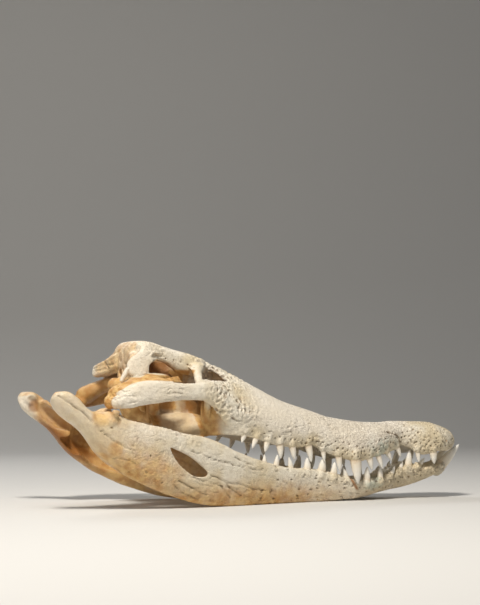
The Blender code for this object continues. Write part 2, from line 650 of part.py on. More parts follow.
def whole_lower_jaw():
    """The lower jaw without teeth as one skin, flat where it rests on the floor."""
    skin = merged_bone(lower_jaw(), lower_jaw_hollows(), LOWER_VOXEL, 3)
    below_floor = block((REAR, -ASIDE, UNDER), (FRONT, ASIDE, 0))
    return combined(thinned(skin, LOWER_TRIANGLES), below_floor, "DIFFERENCE")


def main():
    for old in list(bpy.data.objects):
        bpy.data.objects.remove(old)
    upper_teeth = tooth_row(UPPER_TEETH, True)
    lower_teeth = tooth_row(LOWER_TEETH, False) + front_teeth()
    bones = make_bones(upper_skull(), upper_cuts(), UPPER_PLACES, upper_teeth)
    bones.update(make_bones(whole_lower_jaw(), lower_cuts(), LOWER_PLACES, lower_teeth))
    bones["ear_bone"] = ear_bone()
    ivory = bone_material("ivory bone", IVORY, BONE_ROUGHNESS)
    for name, mesh in bones.items():
        place(name, mesh, ivory)


main()
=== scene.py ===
import math
import random

import bmesh
import bpy
import numpy as np
from mathutils import Matrix, Vector
from mathutils.bvhtree import BVHTree
from mathutils.kdtree import KDTree


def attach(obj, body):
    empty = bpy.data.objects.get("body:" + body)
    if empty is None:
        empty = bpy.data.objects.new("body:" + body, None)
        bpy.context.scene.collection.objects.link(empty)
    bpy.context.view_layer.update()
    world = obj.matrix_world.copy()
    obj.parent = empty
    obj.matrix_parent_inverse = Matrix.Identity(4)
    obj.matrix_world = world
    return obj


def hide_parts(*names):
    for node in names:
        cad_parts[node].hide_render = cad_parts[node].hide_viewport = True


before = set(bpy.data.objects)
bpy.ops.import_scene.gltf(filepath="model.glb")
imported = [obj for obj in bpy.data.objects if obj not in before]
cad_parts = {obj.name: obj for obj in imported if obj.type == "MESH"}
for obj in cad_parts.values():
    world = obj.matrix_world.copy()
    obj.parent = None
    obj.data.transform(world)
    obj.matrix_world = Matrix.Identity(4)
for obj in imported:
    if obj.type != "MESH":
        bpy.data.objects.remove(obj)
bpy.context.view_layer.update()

# ---------------------------------------------------------------------------------------------
# Upper skull. Its bones are grown together, so it is shaped as one skin and then divided at two
# seams into three pieces. Tables are in millimetres, with x = 0 just in front of the eye sockets
# and the left side at +y, and are turned into metres at the end.

MM = 0.001
MIDDLE = 19.87  # x of the point halfway along the skull, which is the frame's origin
CARVING_GRAIN = 1.8  # voxel size while solids are carved
BONE_GRAIN = 1.15  # voxel size of a finished bone's skin

SNOUT_TOP = ((284, 70), (281, 78), (273.5, 85), (261, 89.6), (247, 93.6), (215, 95.6), (180, 93.3),
             (158, 93.9), (135, 96.7), (111, 100.4), (89, 107.8), (48, 121), (13, 138.6),
             (-17, 153), (-43, 165), (-70, 175))
SNOUT_HALF_WIDTH = ((284, 6), (282, 12), (277, 19.5), (270, 26), (261, 31.5), (250, 35), (237, 36),
                    (225, 34.5), (203, 27.5), (190, 31.5), (172, 40), (155, 45), (131, 47.8), (108, 46),
                    (85, 47), (50, 54), (20, 62), (-10, 71), (-40, 80), (-72, 88))
GUM_LINE = ((284, 65), (281, 62.5), (276, 60), (267, 57.5), (252, 57.5), (236, 53.8), (229, 53),
            (212, 62.5), (203, 64.5), (192, 59), (172, 54.3), (158, 51.5), (136, 46.7), (115, 51),
            (88, 60.5), (77, 66.5), (60, 64.6), (37, 66), (15, 70.5), (-5, 76), (-28, 82), (-44, 92),
            (-54, 103), (-63, 113), (-72, 119))
CHEEK_HEIGHT = ((284, 70), (250, 70), (203, 77), (136, 62), (77, 79), (0, 96), (-28, 108), (-50, 124),
                (-72, 131))
ROUNDNESS = ((284, 2.1), (200, 2.4), (100, 2.2), (40, 1.9), (0, 1.6), (-40, 1.4), (-72, 1.4))
GUM_RIDGE = 8.0  # half the width of the ridge that carries the upper teeth
PALATE_RISE = 6.0  # of the palate above the gum
WALL = 7.0  # thickness of roof and cheek around the eye sockets
ARC_STEPS = 24  # of a section, from its top to the widest place of the cheek
RIDGE_STEPS = 8  # of a section, from there down to the gum

# Upper teeth: x, depth in from the jaw's outer face, length, width, how far the tip lies ahead
UPPER_TEETH = ((-21, 5, 8, 6.6, -2.3), (-4.5, 5, 11, 7, -4), (11.5, 5, 11, 7.4, -2.4),
               (29.6, 5, 14.5, 8.8, 1.4), (47.2, 5, 14.3, 8.2, 3), (70, 5, 18.5, 8.8, 3.9),
               (90, 5, 13, 6, 1.8), (110.4, 5, 17, 8.2, 2), (131.5, 4.5, 26.5, 13.4, 3.2),
               (151.2, 5, 13, 8.2, 3.5), (164.5, 5, 15.5, 7, 5.6), (180, 5, 9, 6.4, 5.8),
               (197, 5, 11, 6.4, 4.2), (222, 5, 12, 6.6, 1.8), (242, 5, 13, 9.8, 1.5))


def smooth_curve(knots, values, places):
    """Values at the places on a smooth curve through the knots, which overshoots none of them."""
    knots = np.array(knots, dtype=float)
    values = np.array(values, dtype=float)
    step = np.diff(knots)
    slope = np.diff(values) / step
    same_way = slope[:-1] * slope[1:] > 0
    total = np.where(same_way, slope[:-1] + slope[1:], 1.0)
    inner = np.where(same_way, 2 * slope[:-1] * slope[1:] / total, 0.0)
    tangent = np.concatenate((slope[:1], inner, slope[-1:]))
    span = np.clip(np.searchsorted(knots, places) - 1, 0, len(step) - 1)
    t = np.clip((places - knots[span]) / step[span], 0, 1)
    start = (2 * t**3 - 3 * t**2 + 1) * values[span] + (t**3 - 2 * t**2 + t) * step[span] * tangent[span]
    end = (3 * t**2 - 2 * t**3) * values[span + 1] + (t**3 - t**2) * step[span] * tangent[span + 1]
    return start + end


def profile(points, x):
    """Values at x, a number or an array, of a shape table whose rows are (x, value)."""
    rows = sorted(points)
    places = np.atleast_1d(np.asarray(x, dtype=float))
    values = smooth_curve([row[0] for row in rows], [row[1] for row in rows], places)
    return values if np.ndim(x) else float(values[0])


def refined(rows, spacing):
    """Rows of a table at an even spacing along x, on smooth curves through all its columns."""
    rows = np.array(sorted(rows), dtype=float)
    count = max(2, round((rows[-1, 0] - rows[0, 0]) / spacing))
    places = np.linspace(rows[0, 0], rows[-1, 0], count + 1)
    columns = [smooth_curve(rows[:, 0], rows[:, c], places) for c in range(rows.shape[1])]
    return np.stack(columns, axis=1)


def power(value, exponent):
    """Signed power, which turns a circle's sine and cosine into those of a rounded square."""
    return math.copysign(abs(value) ** exponent, value)


def mesh_of(bm, name):
    """Mesh of a shape under edit, which ends the edit."""
    mesh = bpy.data.meshes.new(name)
    bm.to_mesh(mesh)
    bm.free()
    return mesh


def closed_skin(rings):
    """Mesh of one closed skin through rings of points, all with the same number of points."""
    bm = bmesh.new()
    loops = [[bm.verts.new(Vector(point)) for point in ring] for ring in rings]
    sides = len(loops[0])
    for one, two in zip(loops, loops[1:]):
        for i in range(sides):
            j = (i + 1) % sides
            bm.faces.new((one[i], one[j], two[j], two[i]))
    bm.faces.new(tuple(reversed(loops[0])))
    bm.faces.new(tuple(loops[-1]))
    bmesh.ops.recalc_face_normals(bm, faces=bm.faces)
    return mesh_of(bm, "skin")


def slices(rows, squareness=2.4, lean=0.0, spacing=3.0, sides=40):
    """Solid from upright slices across x: rows of x, outer y, inner y, lowest z and highest z."""
    rings = []
    for x, outer, inner, low, high in refined(rows, spacing):
        ring = []
        for i in range(sides):
            angle = 2 * math.pi * i / sides
            across = power(math.cos(angle), 2 / squareness)
            up = power(math.sin(angle), 2 / squareness)
            y = (outer + inner) / 2 + (outer - inner) / 2 * across + lean * (up - 1) / 2
            ring.append((x, y, (low + high) / 2 + (high - low) / 2 * up))
        rings.append(ring)
    return closed_skin(rings)


CAP_ANGLES = (20, 40, 60, 80)  # of the rings that round off a rod's end, in degrees


def rod(rows, squareness=2.0, upward=(0, 0, 1), steps=8, sides=24):
    """Round-ended rod along a path: rows of x, y, z, half width and half height of its section."""
    rows = np.array(rows, dtype=float)
    lengths = np.linalg.norm(np.diff(rows[:, :3], axis=0), axis=1)
    knots = np.concatenate(([0], np.cumsum(lengths)))
    places = np.linspace(0, knots[-1], steps * len(lengths) + 1)
    fine = np.stack([smooth_curve(knots, rows[:, c], places) for c in range(5)], axis=1)
    heading = np.gradient(fine[:, :3], axis=0)
    stations = [(0, -angle) for angle in reversed(CAP_ANGLES)]
    stations += [(i, 0) for i in range(len(fine))]
    stations += [(len(fine) - 1, angle) for angle in CAP_ANGLES]
    rings = []
    for index, cap in stations:
        centre = Vector(fine[index, :3])
        wide, tall = fine[index, 3:]
        along = Vector(heading[index]).normalized()
        side = Vector(upward).cross(along).normalized()
        up = along.cross(side)
        swell = math.cos(math.radians(cap))
        centre = centre + along * math.sin(math.radians(cap)) * min(wide, tall)
        ring = []
        for i in range(sides):
            angle = 2 * math.pi * i / sides
            a = power(math.cos(angle), 2 / squareness) * wide * swell
            b = power(math.sin(angle), 2 / squareness) * tall * swell
            ring.append(centre + side * a + up * b)
        rings.append(ring)
    return closed_skin(rings)


def ball(centre, radii):
    """Ellipsoid."""
    bm = bmesh.new()
    place = Matrix.Translation(centre) @ Matrix.Diagonal((*radii, 1))
    bmesh.ops.create_icosphere(bm, subdivisions=4, radius=1, matrix=place)
    return mesh_of(bm, "ball")


def block(low, high):
    """Box between two corners."""
    low = Vector(low)
    high = Vector(high)
    bm = bmesh.new()
    place = Matrix.Translation((low + high) / 2) @ Matrix.Diagonal((*(high - low), 1))
    bmesh.ops.create_cube(bm, size=1, matrix=place)
    return mesh_of(bm, "block")


def mirrored(mesh):
    """The same shape on the other side of the skull."""
    copy = mesh.copy()
    copy.transform(Matrix.Diagonal((1, -1, 1, 1)))
    copy.flip_normals()
    return copy


def both_sides(meshes):
    """The meshes and their mirror images."""
    return list(meshes) + [mirrored(mesh) for mesh in meshes]


def joined(meshes):
    """One mesh with all the bodies of the given meshes."""
    bm = bmesh.new()
    for mesh in meshes:
        bm.from_mesh(mesh)
    return mesh_of(bm, "joined")


def linked(name, data):
    """Object of a mesh, lamp or camera, put into the scene."""
    body = bpy.data.objects.new(name, data)
    bpy.context.scene.collection.objects.link(body)
    return body


def evaluated(body):
    """Plain mesh of an object as its modifiers leave it."""
    graph = bpy.context.evaluated_depsgraph_get()
    return bpy.data.meshes.new_from_object(body.evaluated_get(graph))


def after_modifiers(mesh, *settings):
    """The mesh as it leaves a stack of modifiers, each given as its type and its settings."""
    body = linked("work", mesh)
    for kind, values in settings:
        modifier = body.modifiers.new(kind.lower(), kind)
        for name, value in values.items():
            setattr(modifier, name, value)
    result = evaluated(body)
    bpy.data.objects.remove(body)
    return result


def less(mesh, other):
    """A closed mesh without the space of another."""
    tool = linked("tool", other)
    result = after_modifiers(mesh, ("BOOLEAN", {"object": tool, "operation": "DIFFERENCE"}))
    bpy.data.objects.remove(tool)
    return result


def remeshed(mesh, voxel, smoothing=0):
    """One skin of even grain round overlapping solids."""
    stack = [("REMESH", {"mode": "VOXEL", "voxel_size": voxel})]
    if smoothing:
        stack.append(("SMOOTH", {"factor": 0.5, "iterations": smoothing}))
    return after_modifiers(mesh, *stack)


def carved(solids, hollows):
    """Overlapping solids as one skin, less the hollows."""
    return less(remeshed(joined(solids), CARVING_GRAIN), remeshed(joined(hollows), CARVING_GRAIN))


def face_ring(x, inset=0.0, floor=None):
    """Upright section of snout and face at x, set in from the surface, open downwards to the floor."""
    top = profile(SNOUT_TOP, x) - inset
    half = max(profile(SNOUT_HALF_WIDTH, x) - inset, 1.0)
    gum = profile(GUM_LINE, x)
    cheek = min(profile(CHEEK_HEIGHT, x), top - 1.0)
    exponent = 2 / profile(ROUNDNESS, x)
    palate = min(gum + PALATE_RISE, cheek - 0.5)
    ridge = min(GUM_RIDGE, half * 0.45)
    right = []
    for i in range(ARC_STEPS + 1):
        angle = math.radians(90 - 90 / ARC_STEPS * i)
        y = half * power(math.cos(angle), exponent)
        right.append((y, cheek + (top - cheek) * power(math.sin(angle), exponent)))
    if floor is not None:
        right += [(half, floor), (half / 2, floor)]
    else:
        for i in range(1, RIDGE_STEPS + 1):
            angle = math.radians(90 / RIDGE_STEPS * i)
            y = half - ridge * (1 - math.cos(angle))
            right.append((y, cheek - (cheek - gum) * math.sin(angle)))
        right += [(half - 1.5 * ridge, (gum + palate) / 2), (half - 2.1 * ridge, palate)]
        right += [((half - 2.1 * ridge) / 2, palate)]
    middle = floor if floor is not None else palate
    left = [(-y, z) for y, z in reversed(right[1:])]
    return [(x, y, z) for y, z in right + [(0, middle)] + left]


def face():
    """Snout and face as one solid, with the roof and cheeks round the eye sockets."""
    tip = [270, 272, 274, 276, 278, 280, 281, 282, 283, 283.6, 284]
    return closed_skin([face_ring(x) for x in list(np.arange(-74, 268, 2.0)) + tip])


def face_hollows():
    """Nostril, eye sockets, the room behind the snout and the holes in the palate."""
    room = closed_skin([face_ring(x, WALL, 30.0) for x in np.arange(-90, -17, 3.0)])
    nostril = ball((221, 0, 96), (22, 13, 14))
    passage = rod(((215, 0, 84, 10, 6), (190, 0, 80, 8, 5), (165, 0, 78, 6, 4)))
    socket = slices(((-90, 100, 60, 143, 200), (-76, 100, 50, 142.5, 200), (-68, 80, 30, 142, 200),
                     (-60, 92, 17, 142, 200), (-50, 76, 15, 141, 200), (-44, 68, 16, 140.5, 200),
                     (-38, 62, 18, 140.5, 200), (-33, 55, 22, 141, 200), (-28, 47, 30, 143, 200)),
                    squareness=3)
    palate_hole = slices(((-75, 52, 26, 50, 112), (-60, 58, 22, 50, 112), (-30, 56, 19, 50, 112),
                          (-5, 48, 19, 50, 112), (12, 38, 22, 50, 108), (22, 31, 26, 50, 100)),
                         squareness=3)
    return [room, nostril, passage] + both_sides([socket, palate_hole])


def skull_table():
    """Flat roof over the back of the skull, with its upright rims, braincase and occiput."""
    roof = slices(((-50, 17, -17, 158, 167), (-55, 27, -27, 154, 169), (-61, 37, -37, 150, 170),
                   (-75, 41, -41, 148, 175.5), (-92, 43, -43, 151, 179.5),
                   (-110, 45.5, -45.5, 163, 184.6), (-126, 47, -47, 167, 189),
                   (-137, 44, -44, 171, 189.5), (-144, 37, -37, 173, 185),
                   (-148, 29, -29, 173, 180)), squareness=4.4)
    braincase = slices(((-66, 7, -7, 150, 168), (-80, 13, -13, 124, 172), (-105, 18, -18, 104, 176),
                        (-128, 23, -23, 97, 182), (-142, 21, -21, 98, 184),
                        (-149, 13, -13, 112, 178)), squareness=2.6)
    condyle = ball((-155, 0, 139), (9, 9, 8))
    side_wall = slices(((-36, 4, -4, 142, 156), (-46, 9, -9, 141, 164), (-58, 13, -13, 140, 168),
                        (-70, 14, -14, 138, 170)), squareness=2.6)
    left_wing = rod(((-139, 6, 169, 8, 14), (-145, 30, 165, 7, 12), (-152, 48, 159, 6.5, 9.5),
                     (-160, 60, 155, 6, 7.5)), squareness=2.4)
    right_wing = rod(((-139, -6, 169, 8, 14), (-142, -26, 167, 7, 14), (-145, -42, 163, 6, 11),
                      (-148, -53, 157, 5, 7)), squareness=2.4)
    folds = [rod(((-150, 14, 173 - drop, 3, 2.2), (-155, 34, 167 - drop, 4, 2.6),
                  (-162, 52, 161.5 - 0.8 * drop, 4, 2.6), (-165, 59, 159 - 0.7 * drop, 3, 2.2)))
             for drop in (0, 6, 12)]
    sheet = rod(((-123, 43, 180, 12, 5), (-132, 49, 169, 11.5, 5), (-143, 55, 158, 14, 4.5),
                 (-147.5, 59, 149.5, 12, 3.2)), squareness=3.2, upward=(0, 1, 0))
    return [roof, braincase, condyle, side_wall, left_wing, right_wing, *folds] + both_sides([sheet])


def table_hollows():
    """Upper temporal openings, the rooms beside the braincase and the hole for the spinal cord."""
    opening = slices(((-119, 26, 20, 150, 200), (-114, 31, 14, 150, 200), (-104, 33, 12, 150, 200),
                      (-94, 30, 14, 150, 200), (-89, 25, 19, 150, 200)), squareness=2.2)
    room = slices(((-134, 38, 24, 120, 172), (-120, 39, 21, 120, 175), (-100, 36, 18, 120, 171),
                   (-80, 33, 14, 120, 168), (-70, 30, 12, 120, 166)), squareness=3.5)
    ear = slices(((-130, 70, 44, 153, 160), (-126, 70, 36, 151, 164), (-118, 70, 33, 150, 166),
                  (-108, 70, 33, 149.5, 162), (-98, 70, 36, 149, 157), (-95, 70, 42, 149.5, 153)),
                 squareness=2.4)
    behind_eye = slices(((-93, 72, 38, 142, 150), (-88, 72, 36, 140, 154), (-80, 72, 36, 140, 154),
                         (-75.5, 72, 40, 141, 148)), squareness=2.4)
    rim_groove = ball((-112, 53, 171), (15, 9, 5))
    slot = rod(((-139, 47, 177, 1.5, 3), (-143, 47, 171, 1.6, 3), (-149, 49, 164, 1.6, 3)))
    spine = rod(((-166, 0, 153, 7, 6), (-130, 0, 153, 6, 5)))
    return both_sides([opening, room, ear, behind_eye, rim_groove, slot]) + [spine]


def cheek():
    """Bones of the left cheek: bar under the eye, bar behind it, quadrate and ectopterygoid."""
    bar = rod(((-46, 73, 124, 4, 8), (-66, 82, 131, 5, 10.5), (-95, 88, 130.5, 5, 9.5),
               (-116, 91, 130.5, 5, 11), (-140, 93, 129, 5.5, 12.5),
               (-152, 93.5, 127, 6, 12.5), (-163, 93, 122, 6.5, 10), (-174, 92, 119, 6, 7.5)),
              squareness=2.6)
    post = rod(((-68, 36, 161.5, 9, 4), (-72, 48, 158, 8, 4.5), (-74.5, 62, 151, 4.8, 4.2),
                (-77, 77, 139, 4.5, 4.5)))
    quadrate = rod(((-102, 22, 145, 11, 7), (-124, 45, 145, 15, 7), (-146, 67, 139.5, 18, 8),
                    (-170, 80, 127, 18, 10.5)), squareness=2.6)
    flange = rod(((-112, 80, 141, 8, 3), (-128, 78, 144, 12, 3), (-148, 83, 136, 12, 5)))
    knuckle = rod(((-177, 70, 120, 7, 8), (-181, 77, 119, 7.5, 8), (-178, 84, 118.5, 6, 6),
                   (-178, 90, 118.5, 6.5, 7.5), (-175, 95, 119.5, 5.5, 6.5)), steps=4)
    pillar = rod(((-66, 77, 124, 5, 6), (-64, 67, 112, 4.5, 4), (-63.5, 61, 97, 4, 4),
                  (-63, 59, 83, 4, 4)), upward=(0, 1, 0))
    inner_wall = rod(((-128, 24, 120, 4, 12), (-95, 20, 114, 4, 12), (-52, 16, 110, 4, 10)), squareness=3)
    plate = rod(((-66, 60, 100, 3.5, 20), (-52, 63, 101, 3.5, 21), (-40, 68, 99, 4, 18),
                 (-24, 69, 95, 5, 15), (-10, 63, 92, 5, 12)), squareness=3)
    folds = [rod(((x, 36, 134, 5, 5), (x + 1, 34, 114, 4, 4), (x + 3, 32, 98, 5, 4)), upward=(0, 1, 0))
             for x in (-124, -116)]
    spines = [rod(((x - 10, 80, 142, 5, 3), (x, 78, z, 2.4, 2), (x + 8, 75, z + rise, 1.2, 1.1)))
              for x, z, rise in ((-108, 143.5, 1.5), (-106, 141.5, 0.5), (-110, 145, 2.5))]
    return [bar, post, quadrate, flange, knuckle, pillar, plate, inner_wall, *folds, *spines]


def palate():
    """Bar down the middle of the palate, and the pterygoid with its left wing."""
    bar = slices(((38, 11, -11, 82, 96), (0, 14, -14, 87, 102), (-40, 15, -15, 89, 104),
                  (-75, 20, -20, 91, 106), (-100, 34, -34, 93, 107), (-122, 30, -30, 95, 109),
                  (-130, 18, -18, 97, 108)), squareness=3)
    wing = rod(((-94, 14, 103, 26, 4), (-93, 36, 102, 31, 4), (-93, 52, 93, 32, 3.5),
                (-94, 62, 79, 27, 4), (-96, 68, 70, 15, 3.5)), squareness=2.8)
    strut = rod(((-116, 26, 100, 5, 4), (-120, 42, 112, 6, 5), (-124, 52, 128, 7, 5),
                 (-126, 58, 142, 8, 5)))
    return [bar] + both_sides([wing, strut])


def step(value, low, high):
    """Smooth step of an array from 0 at low to 1 at high; low may be the greater of the two."""
    t = np.clip((value - low) / (high - low), 0, 1)
    return t * t * (3 - 2 * t)


def strongest(*masks):
    """The greatest of several masks at each vertex."""
    return np.maximum.reduce(masks)


def masks_over(fields):
    """Function that gives the mask of the vertices whose fields, arrays by name, lie within bands.

    A band is the two values between which the mask rises from 0 to 1, and may go on with the two
    between which it falls to 0 again. A band of two with the greater value first only falls.
    """
    def mask(**bands):
        product = 1.0
        for name, band in bands.items():
            product = product * step(fields[name], *band[:2])
            if len(band) == 4:
                product = product * step(fields[name], band[3], band[2])
        return product

    return mask


def corners(mesh):
    """Places of a mesh's vertices as an array."""
    places = np.empty(len(mesh.vertices) * 3, dtype=np.float32)
    mesh.vertices.foreach_get("co", places)
    return places.reshape(-1, 3).astype(float)


def outward(mesh):
    """Normals of a mesh's vertices as an array."""
    normals = np.empty(len(mesh.vertices) * 3, dtype=np.float32)
    mesh.vertex_normals.foreach_get("vector", normals)
    return normals.reshape(-1, 3).astype(float)


def store(mesh, name, values):
    """Keeps one number for each vertex under a name."""
    layer = mesh.attributes.new(name, "FLOAT", "POINT")
    layer.data.foreach_set("value", np.asarray(values, dtype=np.float32))


LINE_SPACING = 2.0  # between the points of a smooth line


def line_object(name, lines):
    """Object of smooth lines, each a list of points; a line of one point is a loose vertex."""
    vertices = []
    edges = []
    for line in lines:
        line = np.array(line, dtype=float)
        if len(line) > 1:
            lengths = np.linalg.norm(np.diff(line, axis=0), axis=1)
            knots = np.concatenate(([0], np.cumsum(lengths)))
            places = np.linspace(0, knots[-1], max(2, int(knots[-1] / LINE_SPACING)))
            line = np.stack([smooth_curve(knots, line[:, c], places) for c in range(3)], axis=1)
        start = len(vertices)
        vertices += [tuple(point) for point in line]
        edges += [(i, i + 1) for i in range(start, len(vertices) - 1)]
    mesh = bpy.data.meshes.new(name)
    mesh.from_pydata(vertices, edges, [])
    return linked(name, mesh)


class Wire:
    """A socket of a node tree. Arithmetic on it adds Math nodes, and node() adds any other node."""

    def __init__(self, tree, socket=None):
        self.tree = tree
        self.socket = socket

    def node(self, kind, settings=None, sockets=None, output=0):
        """Adds a node with its settings, where a colour ramp's are its stops, and fills its sockets."""
        made = self.tree.nodes.new(kind)
        for name, value in (settings or {}).items():
            if name == "stops":
                ramp = made.color_ramp
                while len(ramp.elements) < len(value):
                    ramp.elements.new(1.0)
                for element, (place, colour) in zip(ramp.elements, value):
                    element.position = place
                    element.color = colour
            else:
                setattr(made, name, value)
        self.fill(made, sockets or {})
        return Wire(self.tree, made.outputs[output]) if made.outputs else None

    def fill(self, node, sockets):
        """Links a node's sockets to wires, or sets them to plain values."""
        for key, value in sockets.items():
            if isinstance(value, Wire):
                self.tree.links.new(value.socket, node.inputs[key])
            else:
                node.inputs[key].default_value = value

    def output(self, name):
        """Another output of the node that this socket belongs to."""
        return Wire(self.tree, self.socket.node.outputs[name])

    def math(self, operation, *values):
        """Math node with this wire first and the values, wires or numbers, after it."""
        sockets = dict(enumerate((self, *values)))
        return self.node("ShaderNodeMath", {"operation": operation}, sockets)

    def __add__(self, other):
        return self.math("ADD", other)

    __radd__ = __add__

    def __mul__(self, other):
        return self.math("MULTIPLY", other)

    __rmul__ = __mul__

    def __sub__(self, other):
        return self.math("SUBTRACT", other)

    def __rsub__(self, other):
        return (self * -1.0).math("ADD", other)

    def __truediv__(self, other):
        return self.math("DIVIDE", other)

    def __rtruediv__(self, other):
        return self.math("POWER", -1.0) * other

    def step(self, low, high):
        """Smooth step from 0 at low to 1 at high; low may be the greater of the two."""
        settings = {"interpolation_type": "SMOOTHSTEP"}
        if low < high:
            return self.node("ShaderNodeMapRange", settings, {"Value": self, 1: low, 2: high})
        return self.node("ShaderNodeMapRange", settings, {"Value": self, 1: high, 2: low, 3: 1.0, 4: 0.0})


def noise(place, size, detail=2.0, output=0):
    """Soft noise with features of about the given size."""
    return place.node("ShaderNodeTexNoise", {}, {"Vector": place, "Scale": 1 / size, "Detail": detail},
                      output)


def cells(place, size, feature="F1"):
    """Distance to the nearest of many scattered points, or to the edge between their cells."""
    return place.node("ShaderNodeTexVoronoi", {"feature": feature}, {"Vector": place, "Scale": 1 / size})


def veins(field, edge, core=0.0):
    """Winding lines where a noise crosses its middle value; edge and core give their width."""
    return (field - 0.5).math("ABSOLUTE").step(edge, core)


def new_tree(name, inputs):
    """Node tree for geometry, whose inputs are rows of name, type and starting value or nothing."""
    tree = bpy.data.node_groups.new(name, "GeometryNodeTree")
    for label, kind, value in (("Geometry", "Geometry", None), *inputs):
        socket = tree.interface.new_socket(label, in_out="INPUT", socket_type="NodeSocket" + kind)
        if value is not None:
            socket.default_value = value
    tree.interface.new_socket("Geometry", in_out="OUTPUT", socket_type="NodeSocketGeometry")
    return tree


def finish_tree(start, geometry, material):
    """Last nodes of a tree: all copies made real, and the material set."""
    real = start.node("GeometryNodeRealizeInstances", {}, {"Geometry": geometry})
    dressed = start.node("GeometryNodeSetMaterial", {}, {"Geometry": real, "Material": material})
    start.node("NodeGroupOutput", {}, {"Geometry": dressed})


def new_material(name, surface):
    """Material; surface gives its shader's values and wires by socket, from the wire it is handed."""
    material = bpy.data.materials.new(name)
    material.use_nodes = True
    start = Wire(material.node_tree)
    start.fill(material.node_tree.nodes["Principled BSDF"], surface(start))
    return material


# Colours of dry bone, as linear red, green and blue
IVORY = (0.86, 0.80, 0.67)
STRAW = (0.74, 0.63, 0.43)
DUST = (0.60, 0.50, 0.35)
SPECKLE = (0.52, 0.43, 0.34)
BLEACHED_AND_PAINTED_LIGHT = (0.88, 0.81, 0.70)
GRAIN_SHADE = (0.50, 0.40, 0.31)
TAN = (0.74, 0.46, 0.15)
RUST = (0.54, 0.25, 0.04)
RECESS_SHADE = (0.52, 0.27, 0.08)
VERDIGRIS = (0.42, 0.56, 0.50)
STAIN_AND_SHADE_BROWN = (0.30, 0.11, 0.015)
SEAM_BROWN_AND_CREASE_SHADE = (0.27, 0.18, 0.10)
PIT_BROWN = (0.24, 0.16, 0.09)


def bone_surface(start):
    """Dry, cleaned bone: ivory where it is open, paler where bleached and under painted light, tan where
    marked, with painted shade in recesses, on low edges and deep in grooves, and brown in stains, pits and
    seams.

    Its patterns' sizes are in metres.
    """
    place = start.node("ShaderNodeTexCoord", {}, {}, "Object")

    def value(name):
        return start.node("ShaderNodeAttribute", {"attribute_name": name}, {}, "Fac")

    def mixed(factor, one, other):
        ends = [colour if isinstance(colour, Wire) else (*colour, 1) for colour in (one, other)]
        return start.node("ShaderNodeMix", {"data_type": "RGBA"}, {0: factor, 6: ends[0], 7: ends[1]}, 2)

    # In the open: clouds of straw, mottling and specks, then the bleached places and those with painted
    # light, and the grained places
    clouds = noise(place, 0.040, 3.0).step(0.36, 0.66)
    colour = mixed(clouds, STRAW, IVORY)
    mottle = noise(place, 0.007, 4.0).step(0.35, 0.75)
    colour = mixed(mottle * 0.32, colour, DUST)
    speckle = veins(noise(place, 0.0021, 2.0), 0.05)
    colour = mixed(speckle * (0.15 + 0.35 * noise(place, 0.03, 3.0).step(0.4, 0.6)), colour, SPECKLE)
    # Bleached places, and painted light in the eye socket and under its brow
    colour = mixed(value("pale") * 0.7, colour, BLEACHED_AND_PAINTED_LIGHT)
    worms = veins(noise(place, 0.0034, 2.0), 0.075) * value("grained")
    colour = mixed(worms * 0.34, colour, GRAIN_SHADE)

    # Tan and brown where the bone is marked so, along the jaw's lower edge as painted shade, and painted
    # shade where it is closed in
    two_tans = mixed(noise(place, 0.009, 4.0).step(0.38, 0.62), TAN, RUST)
    warm = (value("tan") + (noise(place, 0.014, 4.0) - 0.5) * 0.9 * value("tan")).step(0.1, 1.0)
    colour = mixed(warm * 0.9, colour, two_tans)
    # Painted shade in recesses: recess brown by how much bone closes round each place
    closed = (value("shelter") + (noise(place, 0.02, 3.0) - 0.5) * 0.3).step(0.34, 0.9)
    colour = mixed(closed * 0.7, colour, RECESS_SHADE)
    colour = mixed(value("green") * noise(place, 0.012, 3.0).step(0.42, 0.62) * 0.4, colour, VERDIGRIS)
    # Brown stains, and painted shade on the inner side of the jaw's left half
    colour = mixed(value("stain"), colour, STAIN_AND_SHADE_BROWN)

    # Dark brown seams and pits, with painted shade by depth in grooves, slits and holes
    colour = mixed(value("carved").step(0.3, 2.0) * 0.75, colour, SEAM_BROWN_AND_CREASE_SHADE)
    pits = cells(place, 0.0034).step(0.2, 0.12)
    colour = mixed(pits * value("dotted") * 0.6, colour, PIT_BROWN)

    fine = noise(place, 0.0012, 4.0) * 0.5 + noise(place, 0.0032, 3.0) - speckle * 0.35 - worms * 0.6
    bump = start.node("ShaderNodeBump", {}, {"Strength": 0.7, "Distance": 0.0013, "Height": fine})
    return {"Base Color": colour, "Roughness": 0.42 + 0.18 * noise(place, 0.006, 3.0), "Normal": bump}


dry_bone = new_material("dry bone", bone_surface)

# Lines and points that guide the relief, and its sizes
RELIEF_GUIDES = ("Side seams", "Top seams", "Rear seams", "Grooves", "Side holes")
RELIEF_SIZES = {"Pit size": 6.6, "Pit depth": 2.3, "Dot size": 3.8, "Dot depth": 1.2, "Grain size": 3.2,
                "Grain depth": 1.0, "Slit size": 3.8, "Slit depth": 2.2, "Line depth": 1.4, "Slope": 0.0,
                "Seam width": 1.5, "Seam depth": 1.4, "Groove width": 1.6, "Groove depth": 1.6,
                "Hole radius": 1.15, "Hole depth": 2.4, "Knob height": 2.2, "Swell": 0.8, "Seed": 0.0}


